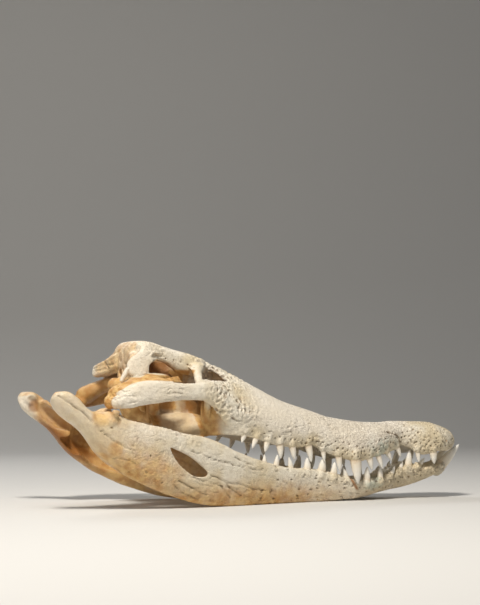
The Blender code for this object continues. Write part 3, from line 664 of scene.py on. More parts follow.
class Skin:
    """Wires of a bone's skin from which its relief is made: place, normal and stored values."""

    def __init__(self, tree):
        self.start = Wire(tree)
        self.inputs = self.start.node("NodeGroupInput")
        self.normal = self.start.node("GeometryNodeInputNormal")
        self.place = self.axes(self.start.node("GeometryNodeInputPosition"))
        self.facing = self.axes(self.normal)

    def axes(self, vector):
        """The three numbers of a vector."""
        return [self.start.node("ShaderNodeSeparateXYZ", {}, {0: vector}, axis) for axis in range(3)]

    def vector(self, x, y, z):
        """Vector of three numbers."""
        return self.start.node("ShaderNodeCombineXYZ", {}, {0: x, 1: y, 2: z})

    def given(self, name):
        """One of the tree's inputs."""
        return self.inputs.output(name)

    def value(self, name):
        """One of the values stored on the vertices."""
        return self.start.node("GeometryNodeInputNamedAttribute", {"data_type": "FLOAT"}, {"Name": name})

    def shifted(self, amount):
        """The skin's place moved along x by the seed and an amount, so that patterns differ."""
        x, y, z = self.place
        return self.vector(x + self.given("Seed") + amount, y, z)

    def wavy(self, place, size, amount):
        """A place moved by soft waves."""
        shift = noise(place, size, 2.0, "Color")
        return self.start.node("ShaderNodeVectorMath", {"operation": "MULTIPLY_ADD"},
                               {0: shift, 1: (amount, amount, amount), 2: place})

    def near(self, guide, place, element="EDGES"):
        """Distance from a place to the edges or points of a guide."""
        target = self.start.node("GeometryNodeObjectInfo", {}, {"Object": self.given(guide)}, "Geometry")
        return self.start.node("GeometryNodeProximity", {"target_element": element},
                               {0: target, 2: place}, "Distance")


def pit_depth(skin, patches):
    """Depth of the pits, dots and grain, which differ in strength from patch to patch."""
    wobble = skin.wavy(skin.shifted(0.0), 5.0, 3.0)
    pit_size = skin.given("Pit size")
    pit = cells(wobble, pit_size, "DISTANCE_TO_EDGE").step(0.06, 0.30)
    deep_pit = cells(wobble, pit_size * 0.7).step(0.42, 0.12) * patches
    pits = (pit * (0.35 + 0.45 * patches) + deep_pit * 0.5) * skin.value("pitted")
    dots = cells(wobble, skin.given("Dot size")).step(0.40, 0.18) * skin.value("dotted")
    worm = veins(noise(wobble, skin.given("Grain size"), 1.0), 0.09, 0.015)
    grains = worm * (0.45 + 0.55 * patches) * skin.value("grained")
    return (pits * skin.given("Pit depth") + dots * skin.given("Dot depth")
            + grains * skin.given("Grain depth"))


def mark_depth(skin, patches):
    """Depth of the slits and lines, which run along the bone and fall by the slope."""
    x, y, z = skin.place
    run = x - z * skin.given("Slope")
    rise = z + x * skin.given("Slope")
    seed = skin.given("Seed")
    stretched = skin.wavy(skin.vector(run * 0.30 + seed, y * 0.3, rise), 6.0, 1.2)
    slits = cells(stretched, skin.given("Slit size")).step(0.25, 0.13) * skin.value("slit")
    long = skin.wavy(skin.vector(run * 0.14 + seed, y * 0.5, rise), 9.0, 2.5)
    lines = veins(noise(long, 7.0, 1.0), 0.035, 0.004) * (0.2 + 0.8 * patches) * skin.value("lined")
    return slits * skin.given("Slit depth") + lines * skin.given("Line depth")


def guided_depth(skin):
    """Depth of the seams, grooves and small holes, which lie where the guides say."""
    x, y, z = skin.place
    back, out, up = skin.facing
    breadth = y.math("ABSOLUTE")
    on_side = out.math("ABSOLUTE").step(0.15, 0.4) * (y * out).step(0.0, 3.0)
    fading = 0.25 + 0.75 * noise(skin.shifted(11.0), 11.0).step(0.40, 0.58)

    wiggle = (noise(skin.shifted(20.0), 4.0) - 0.5) * 5.0
    width = skin.given("Seam width")
    side = (skin.near("Side seams", skin.vector(x + wiggle, 0.0, z + wiggle)) / width).step(1.0, 0.0)
    top = (skin.near("Top seams", skin.vector(x + wiggle, breadth + wiggle, 0.0)) / width).step(1.0, 0.0)
    rear = skin.near("Rear seams", skin.vector(0.0, breadth + wiggle, z + wiggle)) / (width * 1.7)
    rear = rear.step(1.0, 0.1) * back.step(-0.25, -0.5)
    seam = (side * on_side).math("MAXIMUM", top * up.step(0.3, 0.6)).math("MAXIMUM", rear * 1.1) * fading

    waves = (noise(skin.shifted(60.0), 9.0) - 0.5) * 2.5
    groove_width = skin.given("Groove width") * (0.5 + noise(skin.shifted(5.0), 6.0))
    groove = skin.near("Grooves", skin.vector(x + waves, 0.0, z + waves)) / groove_width
    groove = groove.step(1.0, 0.1) * on_side * (0.4 + 0.6 * fading)

    hole = skin.near("Side holes", skin.vector(x, 0.0, z), "POINTS") / skin.given("Hole radius")
    hole = hole.step(1.0, 0.45) * on_side
    return (seam * skin.given("Seam depth") + groove * skin.given("Groove depth")
            + hole * skin.given("Hole depth"))


def relief_tree():
    """Node tree that works pits, grain, slits, grooves, seams and small holes into a bone's skin.

    Its sizes are in millimetres. It reads how strong each pattern is from the vertex values pitted,
    dotted, grained, slit, lined and knobbed, and keeps how deep each place lies in the value carved,
    for the colour.
    """
    inputs = [(name, "Object", None) for name in RELIEF_GUIDES]
    inputs += [(name, "Float", size) for name, size in RELIEF_SIZES.items()]
    tree = new_tree("bone relief", [*inputs, ("Bone", "Material", None)])
    skin = Skin(tree)
    start = skin.start
    patches = noise(skin.shifted(7.0), 18.0).step(0.38, 0.58)
    depth = pit_depth(skin, patches) + mark_depth(skin, patches) + guided_depth(skin)
    knobs = cells(skin.wavy(skin.shifted(90.0), 4.0, 1.5), 5.2).step(0.5, 0.15) * skin.value("knobbed")
    raised = (skin.value("pitted") * 0.9 + skin.value("grained") * 0.3
              + knobs * skin.given("Knob height"))
    lift = (noise(skin.shifted(40.0), 14.0) - 0.5) * skin.given("Swell") - depth + raised
    offset = start.node("ShaderNodeVectorMath", {"operation": "SCALE"}, {0: skin.normal, "Scale": lift})
    moved = start.node("GeometryNodeSetPosition", {}, {
        "Geometry": skin.given("Geometry"), "Offset": offset})
    kept = start.node("GeometryNodeStoreNamedAttribute", {"data_type": "FLOAT", "domain": "POINT"},
                      {"Geometry": moved, "Name": "carved", "Value": depth})
    finish_tree(start, kept, skin.given("Bone"))
    return tree


bone_relief = relief_tree()


def with_nodes(body, tree, values):
    """Plain mesh of an object as a node tree makes it, with the tree's inputs set by their names."""
    modifier = body.modifiers.new("nodes", "NODES")
    modifier.node_group = tree
    for item in tree.interface.items_tree:
        if item.in_out == "INPUT" and item.name in values:
            modifier[item.identifier] = values[item.name]
    mesh = evaluated(body)
    body.modifiers.remove(modifier)
    return mesh


FAR_AWAY = [[(-900.0, -900.0, -900.0), (-902.0, -900.0, -900.0)]]  # a line that touches no bone


def with_relief(mesh, lines, **values):
    """The mesh with the bone's relief worked in; lines gives those of each guide, in their order."""
    body = linked("work", mesh)
    guides = {name: line_object(name.lower(), rows or FAR_AWAY) for name, rows in zip(RELIEF_GUIDES, lines)}
    result = with_nodes(body, bone_relief, {**guides, "Bone": dry_bone, **values})
    for guide in (*guides.values(), body):
        bpy.data.objects.remove(guide)
    return result


RAYS = 20  # cast from each place to see how much bone is round it
COARSE = 0.12  # share of the faces that are enough for that
NEAR_REACH = 25.0  # how far the rays go where they decide on relief
WIDE_REACH = 60.0  # and where they decide on colour


def shelter(mesh, reach):
    """How closed in each vertex is by the bone round it, from 0 in the open to 1 deep inside; the colour uses
    it as painted shade.
    """
    coarse = after_modifiers(mesh, ("DECIMATE", {"ratio": COARSE}))
    tree = BVHTree.FromPolygons([v.co for v in coarse.vertices], [p.vertices for p in coarse.polygons])
    spread = []
    for i in range(RAYS):
        height = 1 - (i + 0.5) / RAYS
        turn = i * math.pi * (3 - math.sqrt(5))
        level = math.sqrt(1 - height * height)
        spread.append(Vector((level * math.cos(turn), level * math.sin(turn), height)))
    finder = KDTree(len(coarse.vertices))
    closed = []
    for i, vertex in enumerate(coarse.vertices):
        finder.insert(vertex.co, i)
        turned = vertex.normal.to_track_quat("Z", "Y")
        start = vertex.co + vertex.normal * 0.8
        hits = sum(tree.ray_cast(start, turned @ way, reach)[0] is not None for way in spread)
        closed.append(hits / RAYS)
    finder.balance()
    return np.array([closed[finder.find(vertex.co)[1]] for vertex in mesh.vertices])


def in_metres(mesh):
    """Turns a mesh from millimetres into metres, with the frame's origin below its middle."""
    mesh.transform(Matrix.Scale(MM, 4) @ Matrix.Translation((-MIDDLE, 0, 0)))
    return mesh


MOST_TRIANGLES = 195000  # in one piece


def finished_bone(name, mesh, triangles=MOST_TRIANGLES):
    """Object of a finished bone in metres, thinned where it is smooth."""
    count = sum(len(polygon.vertices) - 2 for polygon in mesh.polygons)
    if count > triangles:
        mesh = after_modifiers(mesh, ("TRIANGULATE", {}), ("DECIMATE", {"ratio": triangles / count}))
    return linked(name, in_metres(mesh))


TOOTH_FLARE = 0.08  # how far an upper tooth's tip leans outwards, as a share of its length
LEFT_TOOTH_SIZES = (0.88, 1.04)  # range of the left teeth's lengths, as a share of the right ones'
SOCKET_WALL = 1.5  # of the raised rim round each tooth


def tooth_places(table, gum, downward):
    """Base, tip and width of every tooth of one jaw; gum gives the row's y and z at x."""
    chance = random.Random(7)
    places = []
    for x, inset, length, width, ahead in table:
        for side in (-1, 1):
            size = 1.0 if side < 0 else chance.uniform(*LEFT_TOOTH_SIZES)
            y, z = gum(x)
            base = Vector((x, side * (y - inset), z))
            lean = TOOTH_FLARE * length if downward else 0.0
            drop = -length * size if downward else length * size
            places.append((base, base + Vector((ahead, side * lean, drop)), width * size))
    return places


def sockets_of(places):
    """Raised rims of bone round the teeth."""
    rims = []
    for base, tip, width in places:
        way = (tip - base).normalized()
        radius = width / 2 + SOCKET_WALL
        deep = 1.0 if abs(way.z) > 0.8 else -2.0  # a tooth that points ahead has a shallow rim
        ends = ((base - way * (radius + deep), radius + 0.4), (base - way * (radius - 0.8), radius))
        rims.append(rod([(*end, size, size) for end, size in ends], upward=(1, 0, 0), steps=2, sides=16))
    return rims


def upper_gum(x):
    """Distance from the middle and height of the upper gum at x."""
    return profile(SNOUT_HALF_WIDTH, x), profile(GUM_LINE, x)


upper_places = tooth_places(UPPER_TEETH, upper_gum, downward=True)
front = carved([face()], face_hollows())
back = carved(skull_table(), table_hollows())
skull = remeshed(joined([front, back] + both_sides(cheek()) + palate() + sockets_of(upper_places)),
                 BONE_GRAIN, smoothing=3)

# Lines of the right side as (x, z) in side view, and of the roof as (x, distance from the middle)
SKULL_SIDE_SEAMS = (((204, 62), (200, 68), (195, 77), (186, 80), (175, 83), (165, 90)),
                    ((-157, 149), (-147, 147.5), (-140, 149.5), (-131, 151)),
                    ((-118, 110), (-123, 106), (-123, 99), (-119, 93)),
                    ((-93, 108), (-86, 106), (-80, 107)))
SKULL_TOP_SEAMS = (((180, 8), (140, 7), (90, 9), (50, 11), (30, 14), (10, 6), (-2, 0)),
                   ((-60, 38), (-72, 30), (-80, 12), (-82, 0)),
                   ((-118, 46), (-124, 30), (-128, 12), (-136, 0)))
# Folds and seams of the back of the skull as (distance from the middle, z)
SKULL_REAR_SEAMS = (((58, 158), (44, 161), (30, 162.5), (16, 163)), ((8, 158), (20, 150), (26, 138)),
                    ((56, 154.5), (40, 157), (24, 157.5)), ((46, 176), (38, 169), (31, 163), (26, 157)),
                    ((54, 174), (46, 167), (38, 160)), ((0, 186), (6, 176), (2, 166)))
SKULL_GROOVES = (((204, 62), (200, 68), (195, 77), (186, 80), (175, 83)), ((-38, 101), (-31, 98), (-25, 97)))


def in_space(lines, missing):
    """Lines of number pairs as lines of points, with 0 on the axis that the pairs lack."""
    return [[np.insert(pair, "xyz".index(missing), 0) for pair in line] for line in lines]


def hole_row(start, end, spacing, height, chance):
    """Holes along a jaw at an uneven spacing; height gives their z at x."""
    holes = []
    x = start
    while x < end:
        holes.append([(x, 0.0, height(x) + chance.uniform(-2.0, 2.0))])
        x += spacing * chance.uniform(0.6, 1.4)
    return holes


# Rows of small holes along the snout: x of the rearmost hole, spacing, height above the gum
SKULL_HOLE_ROWS = ((-10, 8.0, 9.0), (60, 8.0, 6.0), (95, 6.5, 12.0), (105, 8.0, 18.0), (208, 7.0, 24.0))
SKULL_HOLES_END = 275
RIM_HOLES = ((-107, 169), (-97, 167), (-88, 165), (-119, 172), (-80, 162))  # in the skull table's rim

skull_chance = random.Random(3)
skull_holes = []
for start, spacing, height in SKULL_HOLE_ROWS:
    skull_holes += hole_row(start, SKULL_HOLES_END, spacing, lambda x: profile(GUM_LINE, x) + height,
                            skull_chance)
skull_holes += [[(x, 0, z)] for x, z in RIM_HOLES]


LAST_TOOTH = -20  # x behind which heights are counted from the gum at the last upper tooth
# Lower edge of the sheet behind the ear and upper edge of the bar under it, as (x, z)
SHEET_EDGE = ((-162, 149), (-157, 147.5), (-147, 146.5), (-140, 148.5), (-131, 151), (-124, 150), (-90, 149))
BAR_EDGE = ((-190, 120), (-181, 127), (-157, 140), (-139, 143), (-105, 142), (-86, 141), (-60, 143))


def skull_fields(skull):
    """Where each vertex of the upper skull lies and how much it faces back, outwards and up."""
    x, y, z = corners(skull).T
    normals = outward(skull)
    breadth = np.abs(y)
    return {"x": x, "y": y, "z": z, "breadth": breadth,
            "back": -normals[:, 0], "out": normals[:, 1] * np.sign(y), "up": normals[:, 2],
            "rim": profile(SNOUT_HALF_WIDTH, x) - breadth,
            "above_gum": z - profile(GUM_LINE, np.maximum(x, LAST_TOOTH)),
            "above_bar": z - profile(BAR_EDGE, x),
            "above_sheet": z - profile(SHEET_EDGE, x)}


def texture_skull(skull):
    """Keeps how strong each kind of relief is on the upper skull."""
    mask = masks_over(skull_fields(skull))

    # Only what lies open is rough: the outer sides and the top, and nothing that is closed in
    open_air = 1 - step(shelter(skull, NEAR_REACH), 0.35, 0.6)
    shown = strongest(mask(out=(-0.1, 0.25)), mask(up=(0.1, 0.4))) * open_air

    # The face before and under the eye, the flat roof, the bar behind the eye and the ear's sheet
    before_eye = ((mask(x=(20, -25)) * 0.8 + mask(x=(80, 20)) * 0.2) * mask(x=(-80, -55), z=(92, 106))
                  * (0.5 + 0.5 * strongest(mask(rim=(14, 8)), mask(z=(128, 134)))))
    table_top = mask(x=(-60, -75), z=(168, 174))
    bar_part = mask(x=(-100, -70), z=(118, 126, 140, 146), breadth=(70, 78))
    rough_bar = mask(x=(-80, -105), z=(152, 144), breadth=(72, 80))
    ear_sheet = mask(x=(-104, -114), z=(146, 150), breadth=(40, 46))

    # The snout, whose grain fades towards the gum, the eye and the tip
    grained_snout = (mask(x=(20, 60, 190, 250)) * (0.3 + 0.7 * mask(above_gum=(10, 20)))
                     * (0.4 + 0.6 * mask(x=(70, 140))))
    slit_snout = mask(x=(-30, 10, 100, 140), z=(104, 92))
    lined_snout = mask(x=(-40, -20, 100, 140), z=(112, 98))

    store(skull, "pitted", shown * strongest(before_eye, 0.4 * table_top, 0.35 * bar_part))
    store(skull, "knobbed", shown * 0.5 * before_eye)
    store(skull, "dotted", shown * strongest(mask(x=(190, 215)), 0.3 * mask(x=(20, 60)), 0.7 * table_top,
                                             0.5 * before_eye))
    store(skull, "grained", shown * strongest(grained_snout, 0.4 * rough_bar, 0.3 * ear_sheet))
    store(skull, "slit", shown * strongest(0.5 * slit_snout, 0.35 * rough_bar))
    store(skull, "lined", shown * strongest(0.6 * lined_snout, rough_bar))


texture_skull(skull)
skull = with_relief(skull, (in_space(SKULL_SIDE_SEAMS, "y"), in_space(SKULL_TOP_SEAMS, "z"),
                            in_space(SKULL_REAR_SEAMS, "x"), in_space(SKULL_GROOVES, "y"), skull_holes))


FACE_REAR = -72  # x behind which the table of the face's half width ends


def colour_skull(skull):
    """Keeps where the upper skull is tan, pale from bleaching and from painted light, stained, in painted
    shade where closed in, or tinged with green.
    """
    fields = skull_fields(skull)
    mask = masks_over(fields)
    outer_side = mask(out=(0.1, 0.4))
    outer_bar = mask(breadth=(81, 85), above_bar=(1.0, -1.0))

    # Round the eye: the socket's floor, the underside of its brow and the wall behind it
    eye_socket = mask(x=(-71, -66, -32, -24), z=(136, 141), rim=(7, 12), up=(0.7, 0.4))
    under_brow = mask(x=(-66, -60, -10, -2), z=(130, 136), rim=(7, 12), up=(0.0, -0.3))
    behind_eye = mask(x=(-98, -94, -78, -74), z=(138, 142, 154, 158), breadth=(66, 60))

    # Inside the cheek, where some folds of bone are paler
    pale_throat = strongest(mask(x=(-122, -112, -66, -60), z=(113, 108), breadth=(10, 16)),
                            mask(x=(-92, -86, -78, -74), z=(128, 124), breadth=(36, 32)))
    throat = mask(x=(-66, -72), z=(128, 122), breadth=(80, 74)) * (0.95 - 0.5 * pale_throat)
    face_inside = mask(x=(5, -25), z=(128, 122), rim=(7, 22)) * (fields["x"] > FACE_REAR)
    bar_inside = mask(x=(-72, -80), z=(140, 130), breadth=(66, 72)) * (1 - outer_side)
    brown_wall = mask(x=(-84, -80, -54, -50), z=(96, 100, 124, 130), breadth=(40, 32))

    # Under and behind the flat roof
    under_table = (mask(x=(-84, -90), above_sheet=(0.8, -0.8)) * (1 - outer_bar)
                   * (1 - 0.55 * pale_throat))
    occiput = mask(x=(-136, -146), z=(180, 174), breadth=(62, 48))
    behind_sheet = mask(x=(-132, -137), breadth=(44, 38), back=(0.3, 0.6))
    deep_ear = mask(x=(-138, -132, -97, -92), z=(148, 150, 164, 168), breadth=(46, 38))
    knuckles = mask(x=(-172, -179), breadth=(92, 86))
    far_quadrate = mask(x=(-146, -156), y=(30, 50), z=(152, 148))

    # Bleached places: the bar's rear, the sheet behind the ear and the snout; the roof's upward faces are
    # paler too
    low_bar = outer_bar * mask(x=(-90, -110))
    sheets = outer_side * mask(x=(-112, -128), breadth=(40, 46), above_sheet=(-0.8, 0.8))
    table_top = mask(x=(-60, -90), z=(170, 176), up=(0.3, 0.6))
    snout_side = mask(x=(-30, 10, 190, 225), above_gum=(8, 22))

    store(skull, "tan", strongest(under_table, 0.95 * face_inside, throat, 0.62 * occiput, knuckles,
                                  0.6 * behind_sheet, 0.2 * eye_socket, behind_eye, 0.9 * bar_inside))
    store(skull, "green", mask(x=(140, 165, 180, 205), y=(0, -10), z=(82, 66)))
    # Painted light: the eye socket and the underside of its brow are made pale
    store(skull, "pale", strongest(0.8 * low_bar, 0.7 * sheets, 0.5 * table_top, snout_side,
                                   0.7 * eye_socket, 0.7 * under_brow))
    store(skull, "stain", strongest(0.85 * deep_ear, 0.32 * far_quadrate, 0.45 * brown_wall))
    # Painted shade where the skull is closed in, less of it round the eye, in the pale folds and inside the
    # face
    brightened = strongest(eye_socket, under_brow, pale_throat, 0.6 * face_inside)
    store(skull, "shelter", shelter(skull, WIDE_REACH) * (1 - 0.85 * brightened))


colour_skull(skull)
SNOUT_CUT = 203.0  # x of the seam between the two front bones of the snout
FACE_CUT = -12.5  # x in front of the eye sockets, where the face's bones meet the skull roof's
BEYOND = 400.0  # x past either end of the skull


def part_between(mesh, low, high):
    """The part of a closed mesh between two upright planes across x, closed again."""
    bm = bmesh.new()
    bm.from_mesh(mesh)
    for x, way in ((low, -1), (high, 1)):
        everything = bm.verts[:] + bm.edges[:] + bm.faces[:]
        cut = bmesh.ops.bisect_plane(bm, geom=everything, plane_co=(x, 0, 0), plane_no=(way, 0, 0),
                                     clear_outer=True)
        rim = [item for item in cut["geom_cut"] if isinstance(item, bmesh.types.BMEdge)]
        caps = bmesh.ops.triangle_fill(bm, use_beauty=False, use_dissolve=False, edges=rim,
                                       normal=(way, 0, 0))
        for item in caps["geom"]:
            if isinstance(item, bmesh.types.BMFace):
                item.smooth = False
    part = mesh_of(bm, "part")
    for material in mesh.materials:
        part.materials.append(material)
    return part


skull.shade_smooth()
premaxilla = finished_bone("premaxilla_bone", part_between(skull, SNOUT_CUT, BEYOND))
maxilla = finished_bone("maxilla_bone", part_between(skull, FACE_CUT, SNOUT_CUT))
cranium = finished_bone("cranium", part_between(skull, -BEYOND, FACE_CUT))


for piece, nodes in ((premaxilla, ("premaxilla",)), (maxilla, ("snout",)),
                     (cranium, ("skull_roof", "palate", "cheek_left", "cheek_right", "quadrate_left",
                                "quadrate_right"))):
    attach(piece, "root")
    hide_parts(*nodes)

# ---------------------------------------------------------------------------------------------
# Lower jaw. Two halves of grown-together bone that meet in a seam at the chin. Each carries a
# row of teeth along its upper edge, a window in its side and a hook behind the jaw joint.

# Slices of the left half: x, outer y, inner y, lowest z, highest z
JAW = ((-251, 94, 88, 118, 124), (-246, 100, 82, 110, 130.5), (-235, 102, 80, 100, 131),
       (-222, 102, 77, 91, 124), (-210, 101, 72, 79, 112), (-198, 100, 66, 63, 107),
       (-185, 100, 64, 51, 107), (-174, 100, 68, 43.5, 106), (-165, 100, 74, 37.5, 100.5),
       (-145, 99, 78, 27.5, 96), (-125, 98, 79, 18.5, 91.5), (-100, 95, 77, 10, 84.5),
       (-79, 92, 73, 4, 81), (-54, 86, 67, 0.2, 73.6), (-33, 80, 61, -1.6, 64), (-11, 73, 54, -2, 56),
       (15, 65, 46, -2, 48.5), (45, 56, 37, -2, 42), (75, 48, 29, -2, 40), (100, 44, 25, -1.2, 35.5),
       (125, 42, 22, 0.6, 29), (139, 41, 19, 1.8, 24.8), (155, 39, 10, 4, 26.5), (175, 33.5, -6, 8, 29),
       (195, 25.5, -6, 11, 33), (208, 23, -6, 13, 39.5), (218, 26.5, -6, 15.5, 42), (235, 28, -6, 21, 40),
       (255, 25.5, -6, 28.5, 42), (268, 16, -6, 34.5, 43.5), (274, 8, -5, 38, 42.5))
JAW_LEAN = 7.0  # how far the jaw's lower edge lies nearer the middle than its upper edge
# Outline of the side opening as (x, z)
FENESTRA = ((-118, 70), (-109, 66), (-92, 58), (-74, 44), (-69, 39), (-72, 34.5), (-83, 35), (-99, 44),
            (-111, 57))
FENESTRA_POINTS = 54  # on its smooth outline
CHIN_GAP = 0.3  # between the two halves
# Lower teeth, in the columns of the upper ones
LOWER_TEETH = ((9, 9, 8, 5.8, 0.6), (25.3, 9, 11.5, 7, 2.5), (46.3, 9, 12.5, 7, -1.7),
               (69.5, 8, 12.5, 9.4, 0.8), (89, 7, 15.5, 10, 4.2), (105.5, 6, 13, 8.6, 2.1),
               (121.6, 6, 10, 6.8, -2.6), (150, 5, 14.5, 9, 1.6), (170.3, 5, 12.5, 7.6, 0.9),
               (189.8, 5, 8, 5.8, 4.3), (203.7, 5, 8.5, 5.8, 3), (213.5, 5.5, 18.5, 9.2, 2.6),
               (227, 5, 8.5, 6.2, 8))


OUTER, INNER, HIGH = 1, 2, 4  # columns of the lower jaw's table


def jaw_column(column, x):
    """Value at x of one column of the lower jaw's table."""
    return profile([(row[0], row[column]) for row in JAW], x)


def jaw_solids():
    """Left half of the lower jaw."""
    half = slices(JAW, squareness=2.7, lean=JAW_LEAN, spacing=2.0, sides=56)
    knob = ball((-238, 80.5, 122.5), (9, 9.5, 8.5))
    cup = ball((-184, 80, 98), (13, 20, 11))
    inner_rim = rod(((-222, 76, 116.5, 4, 6), (-208, 70, 106, 4.5, 5), (-196, 64, 103, 5, 6),
                     (-186, 61, 105.5, 4, 7), (-178, 60, 107.5, 3.5, 6)))
    outer_lip = ball((-180.5, 98.5, 108), (5, 3.8, 4.5))
    return [half, knob, cup, inner_rim, outer_lip]


def jaw_hollows():
    """Side opening, muscle room, gap above it, scoops, joint socket, dip and the other half's space."""
    outline = np.array(FENESTRA + FENESTRA[:1], dtype=float)
    places = np.linspace(0, len(FENESTRA), FENESTRA_POINTS + 1)[:-1]
    xs, zs = (smooth_curve(range(len(outline)), column, places) for column in outline.T)
    opening = closed_skin([[(x, y, z) for x, z in zip(xs, zs)] for y in (76, 120)])
    room = slices(((-192, 74, 50, 68, 84), (-180, 82, 50, 58, 92), (-160, 88, 50, 42, 92),
                   (-130, 89, 50, 32, 82), (-100, 86, 50, 26, 74), (-70, 80, 50, 24, 60),
                   (-45, 70, 48, 22, 44)), squareness=2.6)
    upper_gap = slices(((-160, 90, 70, 70, 120), (-140, 91, 74, 70, 120), (-118, 89, 76, 70, 120)),
                       squareness=2.6)
    scoop = rod(((-238, 71, 122, 5, 5), (-222, 70, 108, 9, 8), (-206, 68, 96, 11, 9), (-196, 66, 91, 8, 7)))
    under_scoop = rod(((-201, 66, 74, 4, 4), (-193, 65, 71, 8, 8), (-184, 65, 65, 10, 9)))
    joint = rod(((-177, 66, 118.5, 9.4, 9.4), (-181, 83, 118, 9.8, 9.8), (-178, 97, 118.5, 9.4, 9.4)))
    outer_dip = rod(((-218, 107, 115, 5, 5), (-204, 105.5, 106, 7.5, 7.5), (-190, 107, 104, 6, 6)))
    other_half = block((90, -40, -20), (300, CHIN_GAP / 2, 90))
    return [opening, room, upper_gap, scoop, under_scoop, joint, outer_dip, other_half]


# Lines of the right half as (x, z) in side view
JAW_SIDE_SEAMS = (((-202, 93), (-190, 82), (-176, 73), (-163, 67)),
                  ((-97, 66), (-73, 58), (-45, 50), (-20, 44), (4, 40)),
                  ((-181, 58), (-165, 55), (-142, 41)),
                  ((-92, 36), (-60, 26), (-30, 20), (10, 16)))
JAW_GROOVES = (((-245, 126), (-230, 116), (-217, 107), (-208, 98)), ((-34, 56), (-23, 51), (-10, 46)),
               ((-105, 32), (-91, 24), (-70, 14)), ((-109, 25), (-100, 18), (-80, 10)),
               ((-66, 37), (-52, 31), (-35, 18), (-24, 12)), ((-58, 34), (-46, 28), (-30, 24)),
               ((-52, 24), (-46, 17), (-39, 10)), ((-32, 27), (-12, 20), (6, 17)),
               ((124, 34), (130, 24), (135, 15)))
LONG_LOWER_TOOTH = ((262.5, 10, 39.5), (290, 10.5, 65))  # base and tip of the long tooth at the jaw's tip
LONG_LOWER_TOOTH_WIDTH = 13.5


def lower_gum(x):
    """Distance from the middle and height of the lower gum at x."""
    return jaw_column(OUTER, x), jaw_column(HIGH, x)


lower_places = tooth_places(LOWER_TEETH, lower_gum, downward=False)
for side in (-1, 1):
    base, tip = (Vector((x, side * y, z)) for x, y, z in LONG_LOWER_TOOTH)
    lower_places.append((base, tip, LONG_LOWER_TOOTH_WIDTH))


# Ovals in side view: centre and radii along x and z
SIDE_OVAL = (-180, 65, 12, 15)
HOOK_OVAL = (-234, 114, 8, 9)


def oval_distance(x, z, oval):
    """Square of how far each place lies from an oval's centre, where its edge is at 1."""
    centre_x, centre_z, radius_x, radius_z = oval
    return ((x - centre_x) / radius_x) ** 2 + ((z - centre_z) / radius_z) ** 2


def jaw_fields(half, side):
    """Where each vertex of one half of the lower jaw lies and how much it faces outwards and up."""
    x, y, z = corners(half).T
    normals = outward(half)
    out = y * side
    middle = np.interp(x, [row[0] for row in JAW], [(row[OUTER] + row[INNER]) / 2 for row in JAW])
    return {"x": x, "z": z, "out": out, "facing": normals[:, 1] * side, "up": normals[:, 2],
            "off_middle": out - middle,
            "above_edge": z - jaw_column(HIGH, x),
            "depth": jaw_column(OUTER, x) - JAW_LEAN * step(z, 80, 0) - out,
            "side_oval": oval_distance(x, z, SIDE_OVAL),
            "hook_oval": oval_distance(x, z, HOOK_OVAL),
            "off_crack": np.abs(x - 130 + (z - 24) * 0.6),
            "off_hollow": z + 0.6 * (x + 205)}


def colour_jaw(half, side):
    """Keeps where one half of the lower jaw is tan, with painted shade on its lower edge, pale, stained, in
    painted shade on the left half's inside and where closed in, or green.
    """
    closed_in = shelter(half, WIDE_REACH)
    mask = masks_over({**jaw_fields(half, side), "closed_in": closed_in})
    inward = mask(facing=(-0.1, -0.5))

    # Tan: the inner side, the outer rear, the joint, an oval below it, the hook, and the lower edge, where it
    # is painted shade
    inner = (inward * mask(x=(-60, -110))
             * (1 - 0.2 * mask(x=(-190, -215)) - 0.5 * mask(x=(-228, -240))))
    rear_cheek = (1 - inward) * (0.34 * mask(x=(-90, -160)) + 0.5 * mask(x=(-50, -120), z=(84, 40)))
    joint = mask(x=(-216, -202, -178, -166), z=(82, 100))
    oval = mask(side_oval=(1.5, 0.1), out=(88, 94))
    hook = mask(x=(-190, -215), z=(84, 96), up=(0.2, 0.6), off_middle=(9, 3))
    # Painted shade: tan towards the jaw's lower edge, weaker near the chin
    under = mask(z=(46, 2)) * (0.34 + 0.5 * mask(x=(140, 20)))
    inside = strongest(mask(closed_in=(0.45, 0.7)), mask(depth=(6, 9), z=(70, 62))) * mask(x=(40, 0))

    # Stains on the left half's hook and in a crack behind the chin, and painted shade on the left half's
    # inner side
    far_stain = mask(hook_oval=(1.2, 0.2)) * (side > 0)
    # Painted shade over the left half's inner face, darker towards its lower hollow
    far_inside_shade = (mask(x=(-236, -222, -150, -130), facing=(0.3, -0.1)) * (side > 0)
                  * (0.35 + 0.6 * mask(off_hollow=(88, 80), z=(46, 58))))
    crack = mask(off_crack=(2.8, 1.2), z=(11, 15, 33, 38))

    # Paler on the outside of the rear jaw's upper part
    pale_upper_rear = (1 - inward) * mask(x=(-170, -150, -100, -80), z=(72, 80))
    store(half, "tan", strongest(0.9 * inner, 0.7 * joint, under, 0.6 * hook, rear_cheek, 0.75 * oval,
                                 0.7 * inside))
    store(half, "green", mask(x=(140, 152, 166, 178), z=(8, 16)) * (side < 0))
    store(half, "pale", strongest(0.6 * mask(x=(-236, -244)), 0.4 * pale_upper_rear))
    store(half, "stain", strongest(0.7 * far_stain, 0.85 * crack, far_inside_shade))
    # Painted shade where the jaw is closed in, less of it on the outside near its upper edge
    store(half, "shelter", closed_in * (1 - 0.8 * mask(above_edge=(-16, -8)) * (1 - inward)))


